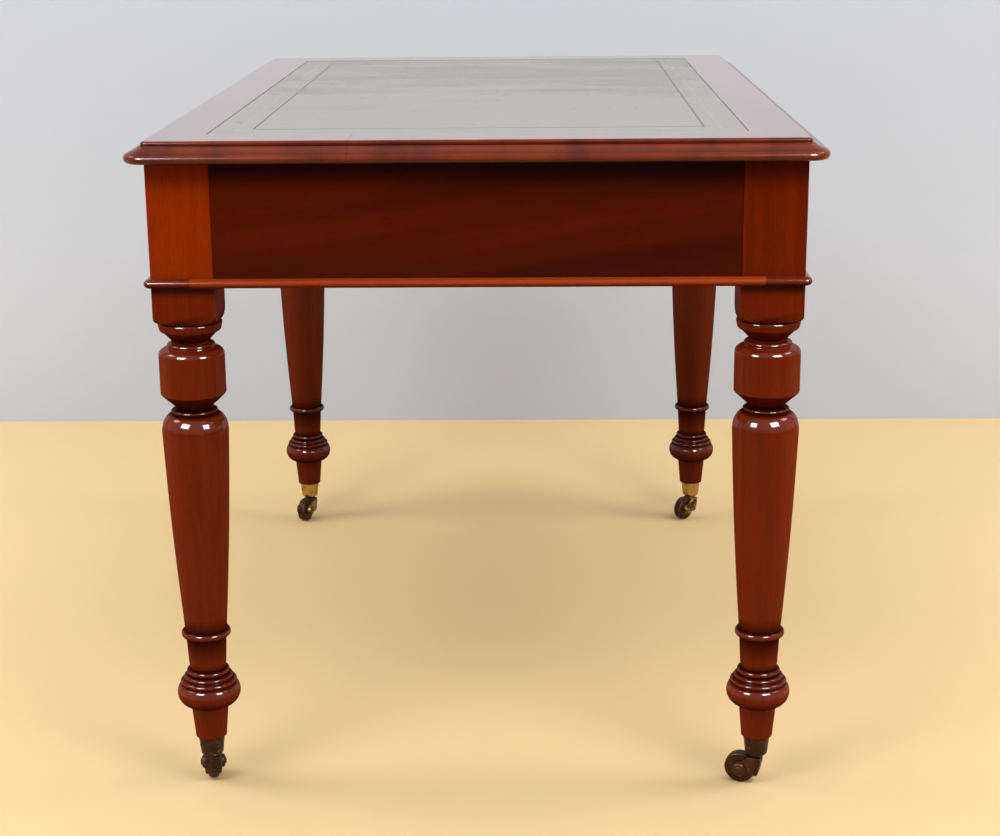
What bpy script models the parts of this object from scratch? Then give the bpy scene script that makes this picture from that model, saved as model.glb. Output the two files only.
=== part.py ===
"""Writing table with a leather top, turned legs, socket castors and two drawers.

Metres, +Z up. The origin is on the floor under the middle of the table.
+Y runs along the table, +X points out of the side that holds the drawers.
"""
import math

import bmesh
import bpy
from mathutils import Matrix, Vector

# Clearances and sweeps
GAP = 0.0003
OVERRUN = 0.004
WELD = 0.00002
EASED_EDGE = 0.0005
FLAT_ANGLE = math.radians(0.5)
SHARP_ANGLE = math.radians(35)

# Top
HEIGHT = 0.762
TOP_WIDTH = 0.753
TOP_LENGTH = 1.112
TOP_THICKNESS = 0.023
TOP_ARRIS_RADIUS = 0.002
BOARD_JOINT_SHARE = 0.32
COVE_BEAD = 0.0042
COVE_QUIRK = 0.0008
OVOLO_STEP = 0.001
OVOLO_REACH = 0.0034
OVOLO_DROP = 0.0068
LEDGE_WIDTH = 0.0091
LEDGE_QUIRK = 0.0002
NOSE_RADIUS = 0.0055
CORNER_STEPS = 5

# Leather
LEATHER_BORDER = 0.0575
LEATHER_THICKNESS = 0.001
LEATHER_SUNK = 0.0002

# Frame
TOP_OVERHANG = 0.022
BLOCK = 0.069
FRIEZE_HEIGHT = 0.134
RAIL_THICKNESS = 0.022
FRONT_RAIL_DEPTH = 0.050
FRONT_TOP_RAIL_HEIGHT = 0.0145
FRONT_BOTTOM_RAIL_HEIGHT = 0.022
MUNTIN_WIDTH = 0.030
TENON_LENGTH = 0.028
TENON_THICKNESS = 0.010
TENON_SHOULDER = 0.014
STUB_TENON_LENGTH = 0.018
STUB_TENON_SHOULDER = 0.004
MUNTIN_TENON_LENGTH = 0.006

# Bead round the foot of the frieze
BEAD_HEIGHT = 0.012
BEAD_PROJECTION = 0.0066
BEAD_CORNER_LENGTH = 0.043
BEAD_STEPS = 5

# Runners, guides, kicker and stops
RUNNER_WIDTH = 0.035
RUNNER_HEIGHT = 0.018
GUIDE_RISE = 0.028
KICKER_WIDTH = 0.035
STOP_SIZE = Vector((0.012, 0.025, 0.005))

# Drawers
DRAWER_SIDE_CLEARANCE = 0.0012
DRAWER_FACE_CLEARANCE = 0.001
DRAWER_HEAD_CLEARANCE = 0.0015
DRAWER_BACK_ROOM = 0.087
DRAWER_FRONT_THICKNESS = 0.020
DRAWER_SIDE_THICKNESS = 0.009
DRAWER_BACK_THICKNESS = 0.009
DRAWER_BACK_DROP = 0.005
DRAWER_BACK_INSET = 0.006
DRAWER_BOTTOM_THICKNESS = 0.006
DRAWER_BOTTOM_RISE = 0.008
GROOVE_DEPTH = 0.004
TAIL_LENGTH = 0.013
TAIL_COUNT = 4
TAIL_WIDTH = 0.018
TAIL_FLARE = 0.0022
KNOB_RADIUS = 0.0165
KNOB_NECK_RADIUS = 0.008
KNOB_PROJECTION = 0.0205
KNOB_NECK_LENGTH = 0.006
KNOB_SHANK_RADIUS = 0.006
KNOB_SHANK_LENGTH = 0.012
KNOB_PLACE_SHARE = 0.25
KNOB_STEPS = 12

# Leg turning: radii, drops below the frieze as far as the long taper, then heights above the floor
SHOULDER_TOP_DROP = 0.031
SHOULDER_RADIUS = 0.049
SHOULDER_BASE_DROP = 0.044
SHOULDER_BASE_RADIUS = 0.0365
BLOCK_QUIRK_RADIUS = 0.0328
BOWL_TOP_DROP = 0.0448
BOWL_RADIUS = 0.0358
BOWL_ROUND = 0.003
BOWL_CORNER_DROP = 0.0546
BOWL_CORNER_RADIUS = 0.0342
BOWL_BASE_DROP = 0.0581
BOWL_BASE_RADIUS = 0.0294
UPPER_NECK_RADIUS = 0.0216
UPPER_NECK_TOP_DROP = 0.0665
UPPER_RING_TOP_DROP = 0.0697
UPPER_RING_HEIGHT = 0.0075
UPPER_RING_RADIUS = 0.0268
DRUM_TOP_DROP = 0.0779
DRUM_SHOULDER_RADIUS = 0.0284
DRUM_SHOULDER_HEIGHT = 0.005
DRUM_RADIUS = 0.0366
DRUM_BASE_DROP = 0.1282
LOWER_NECK_TOP_DROP = 0.144
LOWER_NECK_RADIUS = 0.0188
LOWER_RING_TOP_DROP = 0.1453
LOWER_RING_HEIGHT = 0.0055
LOWER_RING_RADIUS = 0.0271
TAPER_TOP_DROP = 0.1508
TAPER_SHOULDER_RADIUS = 0.0249
TAPER_SHOULDER_HEIGHT = 0.0209
TAPER_RADIUS = 0.0373
TAPER_BASE = 0.1943
TAPER_BASE_RADIUS = 0.0239
TAPER_SWELL = 0.0014
COLLAR_HEIGHT = 0.0101
COLLAR_RADIUS = 0.02835
STEM_TOP_RADIUS = 0.023
STEM_BASE_RADIUS = 0.0204
KNOP_TOP = 0.1495
KNOP_RING_HEIGHTS = (0.007, 0.0058, 0.006)
KNOP_RING_RADII = (0.025, 0.0265, 0.0295)
KNOP_RING_CREASE = 0.0015
BULB_TOP = 0.1289
BULB_TOP_RADIUS = 0.031
BULB_MIDDLE = 0.118
BULB_RADIUS = 0.0361
BULB_BASE = 0.1015
ANKLE_TOP_RADIUS = 0.0212
ANKLE_BASE_RADIUS = 0.0172
ANKLE_ROUND = 0.0035
ANKLE_BASE = 0.0575
SPIGOT_RADIUS = 0.0115
SPIGOT_LENGTH = 0.012
LEG_STEPS = 14
TAPER_STEPS = 4
SHOULDER_STEPS = 32

# Castors
SOCKET_TOP_RADIUS = 0.0147
SOCKET_BASE_RADIUS = 0.0122
SOCKET_BASE = 0.0372
SOCKET_CUP_HEIGHT = 0.005
SOCKET_FOOT_RADIUS = 0.0085
SWIVEL_RADIUS = 0.004
SWIVEL_TOP_CLEARANCE = 0.0006
FORK_NECK_RADIUS = 0.0078
FORK_NECK_HEIGHT = 0.006
FORK_WIDTH = 0.0196
FORK_HORN_REACH = 0.0068
FORK_HORN_BASE = 0.0092
FORK_HORN_SHARES = ((1, 0), (0.97, 0.3), (0.72, 0.6), (0.4, 0.9), (0.1, 1), (-0.35, 1))
BOSS_RADIUS = 0.0092
BOSS_WIDTH = 0.0274
BOSS_STEP = 0.0006
WHEEL_RADIUS = 0.0185
WHEEL_THICKNESS = 0.013
WHEEL_EDGE = 0.0022
WHEEL_SIDE_CLEARANCE = 0.0007
WHEEL_TREAD_CLEARANCE = 0.001
WHEEL_STEPS = 16
SOCKET_STEPS = 14
FORK_STEPS = 12
AXLE_STEPS = 10
TRAIL = 0.018
AXLE_RADIUS = 0.003
AXLE_HEAD_RADIUS = 0.0045
AXLE_HEAD_CROWN_RADIUS = 0.00315
AXLE_HEAD_HEIGHT = 0.0014

# Rest angles of the castors: where each wheel trails, as degrees from +X
TRAIL_ANGLES = {
    "near_left": 98.6,
    "near_right": 162.5,
    "far_left": 250.1,
    "far_right": 227.8,
}
SIDES = {"left": -1, "right": 1}
ENDS = {"near": -1, "far": 1}

# Places that several pieces share
TOP_BASE = HEIGHT - TOP_THICKNESS
MOULDING_REACH = COVE_BEAD + OVOLO_STEP + OVOLO_REACH + LEDGE_WIDTH + NOSE_RADIUS
ARRIS_HALF_WIDTH = TOP_WIDTH / 2 - MOULDING_REACH
ARRIS_HALF_LENGTH = TOP_LENGTH / 2 - MOULDING_REACH
FRAME_WIDTH = TOP_WIDTH - 2 * TOP_OVERHANG
FRAME_LENGTH = TOP_LENGTH - 2 * TOP_OVERHANG
FRAME_TOP = TOP_BASE - GAP
FRIEZE_BOTTOM = TOP_BASE - FRIEZE_HEIGHT
HALF_WIDTH = FRAME_WIDTH / 2
HALF_LENGTH = FRAME_LENGTH / 2
LEG_X = HALF_WIDTH - BLOCK / 2
LEG_Y = HALF_LENGTH - BLOCK / 2
INNER_X = HALF_WIDTH - BLOCK
INNER_Y = HALF_LENGTH - BLOCK
OPENING_BASE = FRIEZE_BOTTOM + FRONT_BOTTOM_RAIL_HEIGHT
OPENING_TOP = FRAME_TOP - FRONT_TOP_RAIL_HEIGHT
BACK_FACE = -HALF_WIDTH + RAIL_THICKNESS
DRAWER_LENGTH = FRAME_WIDTH - RAIL_THICKNESS - DRAWER_BACK_ROOM
END_FACE = HALF_LENGTH - RAIL_THICKNESS
FRONT_RAIL_FACE = HALF_WIDTH - FRONT_RAIL_DEPTH
SHOULDER_TOP = FRIEZE_BOTTOM - SHOULDER_TOP_DROP
SHOULDER_BASE = FRIEZE_BOTTOM - SHOULDER_BASE_DROP
BOWL_TOP = FRIEZE_BOTTOM - BOWL_TOP_DROP
BOWL_CORNER = FRIEZE_BOTTOM - BOWL_CORNER_DROP
BOWL_BASE = FRIEZE_BOTTOM - BOWL_BASE_DROP
UPPER_NECK_TOP = FRIEZE_BOTTOM - UPPER_NECK_TOP_DROP
UPPER_RING_TOP = FRIEZE_BOTTOM - UPPER_RING_TOP_DROP
DRUM_TOP = FRIEZE_BOTTOM - DRUM_TOP_DROP
DRUM_BASE = FRIEZE_BOTTOM - DRUM_BASE_DROP
LOWER_NECK_TOP = FRIEZE_BOTTOM - LOWER_NECK_TOP_DROP
LOWER_RING_TOP = FRIEZE_BOTTOM - LOWER_RING_TOP_DROP
TAPER_TOP = FRIEZE_BOTTOM - TAPER_TOP_DROP


def clear_scene():
    for item in list(bpy.data.objects):
        bpy.data.objects.remove(item, do_unlink=True)


def new_collection(name):
    collection = bpy.data.collections.new(name)
    bpy.context.scene.collection.children.link(collection)
    return collection


def new_material(name, colour, roughness, metallic):
    material = bpy.data.materials.new(name)
    material.use_nodes = True
    shader = material.node_tree.nodes["Principled BSDF"]
    shader.inputs["Base Color"].default_value = (*colour, 1)
    shader.inputs["Roughness"].default_value = roughness
    shader.inputs["Metallic"].default_value = metallic
    material.diffuse_color = (*colour, 1)
    return material


clear_scene()
PARTS = new_collection("writing_table")
CUTTERS = new_collection("cutters")

LOOKS = {
    "polished_mahogany": ((0.19, 0.045, 0.018), 0.18, 0),
    "dark_mahogany": ((0.06, 0.018, 0.014), 0.2, 0),
    "turned_mahogany": ((0.22, 0.05, 0.015), 0.16, 0),
    "bead_mahogany": ((0.28, 0.075, 0.02), 0.18, 0),
    "green_leather": ((0.16, 0.17, 0.14), 0.45, 0),
    "aged_brass": ((0.11, 0.075, 0.035), 0.35, 1),
    "wheel_brass": ((0.06, 0.042, 0.028), 0.4, 1),
    "drawer_oak": ((0.42, 0.26, 0.13), 0.55, 0),
    "carcass_pine": ((0.46, 0.3, 0.16), 0.6, 0),
}


# Helpers that make and combine solids


def place(name, mesh, look, location=(0, 0, 0), turn=0):
    """Put a mesh in the scene as one named piece, with a material of its own."""
    piece = bpy.data.objects.new(name, mesh)
    piece.location = location
    piece.rotation_euler.z = turn
    PARTS.objects.link(piece)
    if not mesh.materials:
        mesh.materials.append(new_material(look + "_" + name, *LOOKS[look]))
    else:
        piece.material_slots[0].link = "OBJECT"
        piece.material_slots[0].material = new_material(look + "_" + name, *LOOKS[look])
    return piece


def guide(name, mesh, location=(0, 0, 0)):
    """Keep a mesh as a cutter or a pattern, which isn't part of the table."""
    tool = bpy.data.objects.new(name, mesh)
    tool.location = location
    tool.hide_render = True
    tool.display_type = "WIRE"
    CUTTERS.objects.link(tool)
    return tool


def finish_mesh(name, form):
    mesh = bpy.data.meshes.new(name)
    form.to_mesh(mesh)
    form.free()
    mesh.shade_smooth()
    mesh.set_sharp_from_angle(angle=SHARP_ANGLE)
    return mesh


def add_box(form, low, high):
    """Add one cuboid between two corners to a bmesh."""
    low, high = Vector(low), Vector(high)
    size = Matrix.Diagonal((*(high - low), 1))
    bmesh.ops.create_cube(form, size=1, matrix=Matrix.Translation((low + high) / 2) @ size)


def boxes_mesh(name, corners, origin=(0, 0, 0)):
    form = bmesh.new()
    for low, high in corners:
        add_box(form, Vector(low) - Vector(origin), Vector(high) - Vector(origin))
    return finish_mesh(name, form)


def box(name, low, high, look, eased=EASED_EDGE):
    """A board between two corners, with its origin in the middle and its edges eased."""
    centre = (Vector(low) + Vector(high)) / 2
    piece = place(name, boxes_mesh(name, [(low, high)], centre), look, centre)
    if eased:
        ease = piece.modifiers.new("eased edges", "BEVEL")
        ease.width = eased
        ease.segments = 1
    return piece


def cylinder_mesh(radius, low, high, steps, axis="Z"):
    """A cylinder between two heights on its axis, which is laid along X or Y if need be."""
    form = bmesh.new()
    bmesh.ops.create_cone(
        form, cap_ends=True, segments=steps, radius1=radius, radius2=radius, depth=high - low)
    bmesh.ops.translate(form, verts=form.verts, vec=(0, 0, (low + high) / 2))
    if axis == "Y":
        bmesh.ops.rotate(form, verts=form.verts, matrix=Matrix.Rotation(math.radians(90), 3, "X"))
    if axis == "X":
        bmesh.ops.rotate(form, verts=form.verts, matrix=Matrix.Rotation(math.radians(90), 3, "Y"))
    return finish_mesh("cylinder", form)


def combine(piece, operation, tool):
    change = piece.modifiers.new(operation.lower() + " " + tool.name, "BOOLEAN")
    change.operation = operation
    change.solver = "EXACT"
    change.object = tool


def applied(piece):
    """The mesh of a piece as its modifiers leave it."""
    graph = bpy.context.evaluated_depsgraph_get()
    mesh = bpy.data.meshes.new_from_object(piece.evaluated_get(graph))
    mesh.shade_smooth()
    mesh.set_sharp_from_angle(angle=SHARP_ANGLE)
    return mesh


def turned(name, profile, steps, closed=False):
    """A pattern turned round Z from (radius, height) points that run down its outer side."""
    form = bmesh.new()
    rim = [form.verts.new((radius, 0, height)) for radius, height in profile]
    for first, second in zip(rim, rim[1:]):
        form.edges.new((first, second))
    if closed:
        form.edges.new((rim[-1], rim[0]))
    mesh = bpy.data.meshes.new(name)
    form.to_mesh(mesh)
    form.free()
    pattern = guide(name, mesh)
    lathe = pattern.modifiers.new("lathe", "SCREW")
    lathe.steps = steps
    lathe.render_steps = steps
    lathe.use_merge_vertices = True
    lathe.merge_threshold = WELD
    lathe.use_smooth_shade = True
    return pattern


def arc(centre, reach, first, last, steps):
    """Points on an ellipse: angles in degrees, 0 points outwards and 90 points up."""
    points = []
    for step in range(steps + 1):
        angle = math.radians(first + (last - first) * step / steps)
        points.append((centre[0] + reach[0] * math.cos(angle), centre[1] + reach[1] * math.sin(angle)))
    return points


def plate(name, outline, thickness):
    """A flat outline in the XZ plane, as thick along Y as it is told."""
    curve = bpy.data.curves.new(name, "CURVE")
    curve.dimensions = "2D"
    curve.fill_mode = "BOTH"
    curve.extrude = thickness / 2
    spline = curve.splines.new("POLY")
    spline.points.add(len(outline) - 1)
    for point, (x, z) in zip(spline.points, outline):
        point.co = (x, z, 0, 1)
    spline.use_cyclic_u = True
    source = bpy.data.objects.new(name, curve)
    CUTTERS.objects.link(source)
    form = bmesh.new()
    graph = bpy.context.evaluated_depsgraph_get()
    flat = bpy.data.meshes.new_from_object(source.evaluated_get(graph))
    form.from_mesh(flat)
    bmesh.ops.remove_doubles(form, verts=form.verts, dist=WELD)
    bmesh.ops.dissolve_limit(form, angle_limit=FLAT_ANGLE, verts=form.verts, edges=form.edges)
    bmesh.ops.rotate(form, verts=form.verts, matrix=Matrix.Rotation(math.radians(90), 3, "X"))
    bpy.data.objects.remove(source, do_unlink=True)
    bpy.data.meshes.remove(flat)
    return finish_mesh(name, form)


def swept(name, profile, moves, closed):
    """Carry a profile along straight runs and round turns, then fill the open ends."""
    form = bmesh.new()
    rim = [form.verts.new(point) for point in profile]
    edges = [form.edges.new(pair) for pair in zip(rim, rim[1:])]
    if closed:
        edges.append(form.edges.new((rim[-1], rim[0])))
    for kind, value in moves:
        if kind == "run":
            made = bmesh.ops.extrude_edge_only(form, edges=edges)["geom"]
            rim = [part for part in made if isinstance(part, bmesh.types.BMVert)]
            edges = [part for part in made if isinstance(part, bmesh.types.BMEdge)]
            edges = [edge for edge in edges if all(end in rim for end in edge.verts)]
            bmesh.ops.translate(form, verts=rim, vec=value)
        else:
            turn = bmesh.ops.spin(
                form, geom=rim + edges, cent=value, axis=(0, 0, 1), dvec=(0, 0, 0),
                angle=math.radians(90), steps=CORNER_STEPS)["geom_last"]
            rim = [part for part in turn if isinstance(part, bmesh.types.BMVert)]
            edges = [part for part in turn if isinstance(part, bmesh.types.BMEdge)]
    bmesh.ops.remove_doubles(form, verts=form.verts, dist=WELD)
    bmesh.ops.holes_fill(form, edges=form.edges, sides=0)
    bmesh.ops.recalc_face_normals(form, faces=form.faces)
    return form


def tenon(piece, receiver, low, high):
    """Give a piece a tenon, and cut the mortise that takes it."""
    combine(piece, "UNION", guide("tenon " + piece.name, boxes_mesh("tenon", [(low, high)])))
    slack = Vector((GAP, GAP, GAP))
    room = boxes_mesh("mortise", [(Vector(low) - slack, Vector(high) + slack)])
    combine(receiver, "DIFFERENCE", guide("mortise " + piece.name, room))


# Top


def top_profile():
    """The edge moulding, from the arris down to the underside, out along X."""
    step = COVE_BEAD + OVOLO_STEP
    ledge = step + OVOLO_REACH
    nose = ledge + LEDGE_WIDTH
    shelf = TOP_THICKNESS - 2 * NOSE_RADIUS
    points = arc((0, -COVE_BEAD), (COVE_BEAD, COVE_BEAD), 90, 0, 3)
    points.append((COVE_BEAD, -COVE_BEAD - COVE_QUIRK))
    points += arc((step, -shelf + LEDGE_QUIRK), (OVOLO_REACH, OVOLO_DROP), 90, 0, 3)
    points.append((ledge, -shelf))
    points += arc((nose, -shelf - NOSE_RADIUS), (NOSE_RADIUS, NOSE_RADIUS), 90, -90, 6)
    return points


def top_boards():
    run_x = ARRIS_HALF_WIDTH - TOP_ARRIS_RADIUS
    run_y = ARRIS_HALF_LENGTH - TOP_ARRIS_RADIUS
    profile = [(ARRIS_HALF_WIDTH + out, -run_y, drop) for out, drop in top_profile()]
    moves = [
        ("run", (0, 2 * run_y, 0)),
        ("turn", (run_x, run_y, 0)),
        ("run", (-2 * run_x, 0, 0)),
        ("turn", (-run_x, run_y, 0)),
        ("run", (0, -2 * run_y, 0)),
        ("turn", (-run_x, -run_y, 0)),
        ("run", (2 * run_x, 0, 0)),
        ("turn", (run_x, -run_y, 0)),
    ]
    half_width = ARRIS_HALF_WIDTH - LEATHER_BORDER
    half_length = ARRIS_HALF_LENGTH - LEATHER_BORDER
    skin = LEATHER_THICKNESS + LEATHER_SUNK
    recess = guide("leather recess", boxes_mesh("leather recess", [(
        (-half_width - GAP, -half_length - GAP, HEIGHT - skin - GAP),
        (half_width + GAP, half_length + GAP, HEIGHT + OVERRUN))]))
    joint = BOARD_JOINT_SHARE * TOP_WIDTH - TOP_WIDTH / 2
    for side, sign in SIDES.items():
        form = swept("top", profile, moves, closed=False)
        bmesh.ops.bisect_plane(
            form, geom=form.verts[:] + form.edges[:] + form.faces[:], dist=WELD,
            plane_co=(joint + sign * GAP / 2, 0, 0), plane_no=(-sign, 0, 0), clear_outer=True)
        bmesh.ops.holes_fill(form, edges=form.edges, sides=0)
        mesh = finish_mesh("top board " + side, form)
        board = place("top_board_" + side, mesh, "polished_mahogany", (0, 0, HEIGHT))
        combine(board, "DIFFERENCE", recess)
    box("writing_leather", (-half_width, -half_length, HEIGHT - skin),
        (half_width, half_length, HEIGHT - LEATHER_SUNK), "green_leather", eased=0)


# Legs


def ring(top, height, crease, reach, steps=3):
    """A turned half-round ring that bulges from the crease radius to its reach."""
    return arc((crease, top - height / 2), (reach - crease, height / 2), 90, -90, steps)


def leg_profile():
    points = [(0, SHOULDER_TOP), (BLOCK_QUIRK_RADIUS, SHOULDER_TOP), (BLOCK_QUIRK_RADIUS, BOWL_TOP)]
    points += arc((BOWL_RADIUS - BOWL_ROUND, BOWL_TOP - BOWL_ROUND), (BOWL_ROUND, BOWL_ROUND), 60, 0, 1)
    points.append((BOWL_CORNER_RADIUS, BOWL_CORNER))
    points.append((BOWL_BASE_RADIUS, BOWL_BASE))
    points.append((UPPER_NECK_RADIUS, UPPER_NECK_TOP))
    points.append((UPPER_NECK_RADIUS, UPPER_RING_TOP))
    points += ring(UPPER_RING_TOP, UPPER_RING_HEIGHT, UPPER_NECK_RADIUS + KNOP_RING_CREASE, UPPER_RING_RADIUS)
    drum_reach = (DRUM_RADIUS - DRUM_SHOULDER_RADIUS, DRUM_SHOULDER_HEIGHT)
    points += arc((DRUM_SHOULDER_RADIUS, DRUM_TOP - DRUM_SHOULDER_HEIGHT), drum_reach, 90, 0, 2)
    points.append((DRUM_RADIUS, DRUM_BASE))
    points.append((LOWER_NECK_RADIUS, LOWER_NECK_TOP))
    points.append((LOWER_NECK_RADIUS, LOWER_RING_TOP))
    points += ring(LOWER_RING_TOP, LOWER_RING_HEIGHT, LOWER_NECK_RADIUS + KNOP_RING_CREASE, LOWER_RING_RADIUS)
    shoulder = TAPER_RADIUS - TAPER_SHOULDER_RADIUS
    swell_top = TAPER_TOP - TAPER_SHOULDER_HEIGHT
    points += arc((TAPER_SHOULDER_RADIUS, swell_top), (shoulder, TAPER_SHOULDER_HEIGHT), 90, 0, 3)
    for step in range(1, TAPER_STEPS + 1):
        down = step / TAPER_STEPS
        swell = TAPER_SWELL * math.sin(math.pi * down)
        radius = TAPER_RADIUS + (TAPER_BASE_RADIUS - TAPER_RADIUS) * down + swell
        points.append((radius, swell_top + (TAPER_BASE - swell_top) * down))
    points += ring(TAPER_BASE, COLLAR_HEIGHT, TAPER_BASE_RADIUS + KNOP_RING_CREASE, COLLAR_RADIUS)
    points.append((STEM_TOP_RADIUS, TAPER_BASE - COLLAR_HEIGHT))
    points.append((STEM_BASE_RADIUS, KNOP_TOP))
    top = KNOP_TOP
    crease = STEM_BASE_RADIUS
    for height, reach in zip(KNOP_RING_HEIGHTS, KNOP_RING_RADII):
        points += ring(top, height, crease + KNOP_RING_CREASE, reach)[:-1]
        top -= height
        crease = reach - 2 * KNOP_RING_CREASE
    points.append((crease, top))
    crown = (BULB_RADIUS - BULB_TOP_RADIUS, BULB_TOP - BULB_MIDDLE)
    points += arc((BULB_TOP_RADIUS, BULB_MIDDLE), crown, 90, 0, 2)
    waist = BULB_RADIUS - ANKLE_TOP_RADIUS
    points += arc((ANKLE_TOP_RADIUS, BULB_MIDDLE), (waist, BULB_MIDDLE - BULB_BASE), -20, -90, 3)
    points.append((ANKLE_BASE_RADIUS, ANKLE_BASE + ANKLE_ROUND))
    points.append((SOCKET_TOP_RADIUS, ANKLE_BASE))
    points.append((SPIGOT_RADIUS, ANKLE_BASE))
    points.append((SPIGOT_RADIUS, ANKLE_BASE - SPIGOT_LENGTH))
    points.append((0, ANKLE_BASE - SPIGOT_LENGTH))
    return points


def leg_pattern():
    """One leg about its own axis: a square block on a turning, its lower corners turned away."""
    blank = guide("leg block", boxes_mesh("leg block", [(
        (-BLOCK / 2, -BLOCK / 2, SHOULDER_BASE), (BLOCK / 2, BLOCK / 2, FRAME_TOP))]))
    drop = SHOULDER_TOP - SHOULDER_BASE
    sweep = SHOULDER_RADIUS - SHOULDER_BASE_RADIUS
    crown = [(0, HEIGHT), (2 * SHOULDER_RADIUS, HEIGHT), (2 * SHOULDER_RADIUS, SHOULDER_TOP)]
    crown += arc((SHOULDER_BASE_RADIUS, SHOULDER_TOP), (sweep, drop), 0, -90, 4)
    shoulder = turned("leg shoulder", crown[:-1] + [(SHOULDER_BASE_RADIUS, SHOULDER_BASE - OVERRUN),
                      (0, SHOULDER_BASE - OVERRUN)], SHOULDER_STEPS)
    combine(blank, "INTERSECT", shoulder)
    turning = turned("leg turning", leg_profile(), LEG_STEPS)
    combine(turning, "UNION", blank)
    return applied(turning)


def legs():
    pattern = leg_pattern()
    made = {}
    for end, along in ENDS.items():
        for side, across in SIDES.items():
            name = end + "_" + side
            made[name] = place("leg_" + name, pattern, "turned_mahogany", (across * LEG_X, along * LEG_Y, 0))
    return made


# Rails


def end_rail(end, legs_made):
    along = ENDS[end]
    outer, inner = sorted((along * HALF_LENGTH, along * END_FACE))
    middle = along * (HALF_LENGTH - RAIL_THICKNESS / 2)
    rail = rail_between(
        "rail_" + end + "_end", (GAP - INNER_X, outer, FRIEZE_BOTTOM),
        (INNER_X - GAP, inner, FRAME_TOP), "dark_mahogany")
    for side, across in SIDES.items():
        root, tip = sorted((across * (INNER_X - OVERRUN), across * (INNER_X + TENON_LENGTH)))
        tenon(rail, legs_made[end + "_" + side],
              (root, middle - TENON_THICKNESS / 2, FRIEZE_BOTTOM + TENON_SHOULDER),
              (tip, middle + TENON_THICKNESS / 2, FRAME_TOP - TENON_SHOULDER))


def rail_between(name, low, high, look):
    """A rail whose origin is the table's, so that its tenons can be set in table coordinates."""
    return place(name, boxes_mesh(name, [(low, high)]), look)


def back_rail(legs_made):
    middle = -HALF_WIDTH + RAIL_THICKNESS / 2
    rail = rail_between(
        "rail_back", (-HALF_WIDTH, GAP - INNER_Y, FRIEZE_BOTTOM),
        (BACK_FACE, INNER_Y - GAP, FRAME_TOP), "dark_mahogany")
    for end, along in ENDS.items():
        root, tip = sorted((along * (INNER_Y - OVERRUN), along * (INNER_Y + TENON_LENGTH)))
        tenon(rail, legs_made[end + "_left"],
              (middle - TENON_THICKNESS / 2, root, FRIEZE_BOTTOM + TENON_SHOULDER),
              (middle + TENON_THICKNESS / 2, tip, FRAME_TOP - TENON_SHOULDER))


def front_rail(name, base, top, legs_made):
    rail = rail_between(
        name, (FRONT_RAIL_FACE, -INNER_Y + GAP, base), (HALF_WIDTH, INNER_Y - GAP, top), "polished_mahogany")
    for end, along in ENDS.items():
        root, tip = sorted((along * (INNER_Y - OVERRUN), along * (INNER_Y + STUB_TENON_LENGTH)))
        tenon(rail, legs_made[end + "_right"],
              (FRONT_RAIL_FACE + 2 * STUB_TENON_SHOULDER, root, base + STUB_TENON_SHOULDER),
              (HALF_WIDTH - 2 * STUB_TENON_SHOULDER, tip, top - STUB_TENON_SHOULDER))
    return rail


def front_frame(legs_made):
    upper = front_rail("rail_front_top", OPENING_TOP, FRAME_TOP, legs_made)
    lower = front_rail("rail_front_bottom", FRIEZE_BOTTOM, OPENING_BASE, legs_made)
    muntin = rail_between(
        "muntin_front", (FRONT_RAIL_FACE, -MUNTIN_WIDTH / 2, OPENING_BASE + GAP),
        (HALF_WIDTH, MUNTIN_WIDTH / 2, OPENING_TOP - GAP), "polished_mahogany")
    low_x = FRONT_RAIL_FACE + 2 * STUB_TENON_SHOULDER
    high_x = HALF_WIDTH - 2 * STUB_TENON_SHOULDER
    half = MUNTIN_WIDTH / 2 - 2 * STUB_TENON_SHOULDER
    foot = OPENING_BASE - MUNTIN_TENON_LENGTH
    head = OPENING_TOP + MUNTIN_TENON_LENGTH
    tenon(muntin, lower, (low_x, -half, foot), (high_x, half, OPENING_BASE + OVERRUN))
    tenon(muntin, upper, (low_x, -half, OPENING_TOP - OVERRUN), (high_x, half, head))


# Bead


def bead_section():
    """The half-round bead, as (out from the frieze, up) points that close on the flat back."""
    middle = FRIEZE_BOTTOM + BEAD_HEIGHT / 2
    return arc((GAP, middle), (BEAD_PROJECTION - GAP, BEAD_HEIGHT / 2), 90, -90, BEAD_STEPS)


def bead():
    for end, along in ENDS.items():
        for side, across in SIDES.items():
            bead_corner(end + "_" + side, across, along)
    straight_x = HALF_WIDTH - BEAD_CORNER_LENGTH - GAP
    straight_y = HALF_LENGTH - BEAD_CORNER_LENGTH - GAP
    bead_strip("bead_near", straight_x, HALF_LENGTH, -90)
    bead_strip("bead_far", straight_x, HALF_LENGTH, 90)
    bead_strip("bead_back", straight_y, HALF_WIDTH, 180)
    bead_strip("bead_front", straight_y, HALF_WIDTH, 0)


def bead_strip(name, half_length, face, degrees):
    profile = [(face + out, -half_length, height) for out, height in bead_section()]
    form = swept(name, profile, [("run", (0, 2 * half_length, 0))], closed=True)
    place(name, finish_mesh(name, form), "dark_mahogany", (0, 0, 0), math.radians(degrees))


def bead_corner(name, across, along):
    """One corner piece: straight, round the block's corner, straight."""
    leg_length = BEAD_CORNER_LENGTH
    profile = [(out, -leg_length, height) for out, height in bead_section()]
    moves = [("run", (0, leg_length, 0)), ("turn", (0, 0, 0)), ("run", (-leg_length, 0, 0))]
    form = swept(name, profile, moves, closed=True)
    turns = {(1, 1): 0, (-1, 1): 90, (-1, -1): 180, (1, -1): 270}
    place("bead_corner_" + name, finish_mesh(name, form), "bead_mahogany",
          (across * HALF_WIDTH, along * HALF_LENGTH, 0), math.radians(turns[across, along]))


# Runners, guides, kicker and stops


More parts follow.
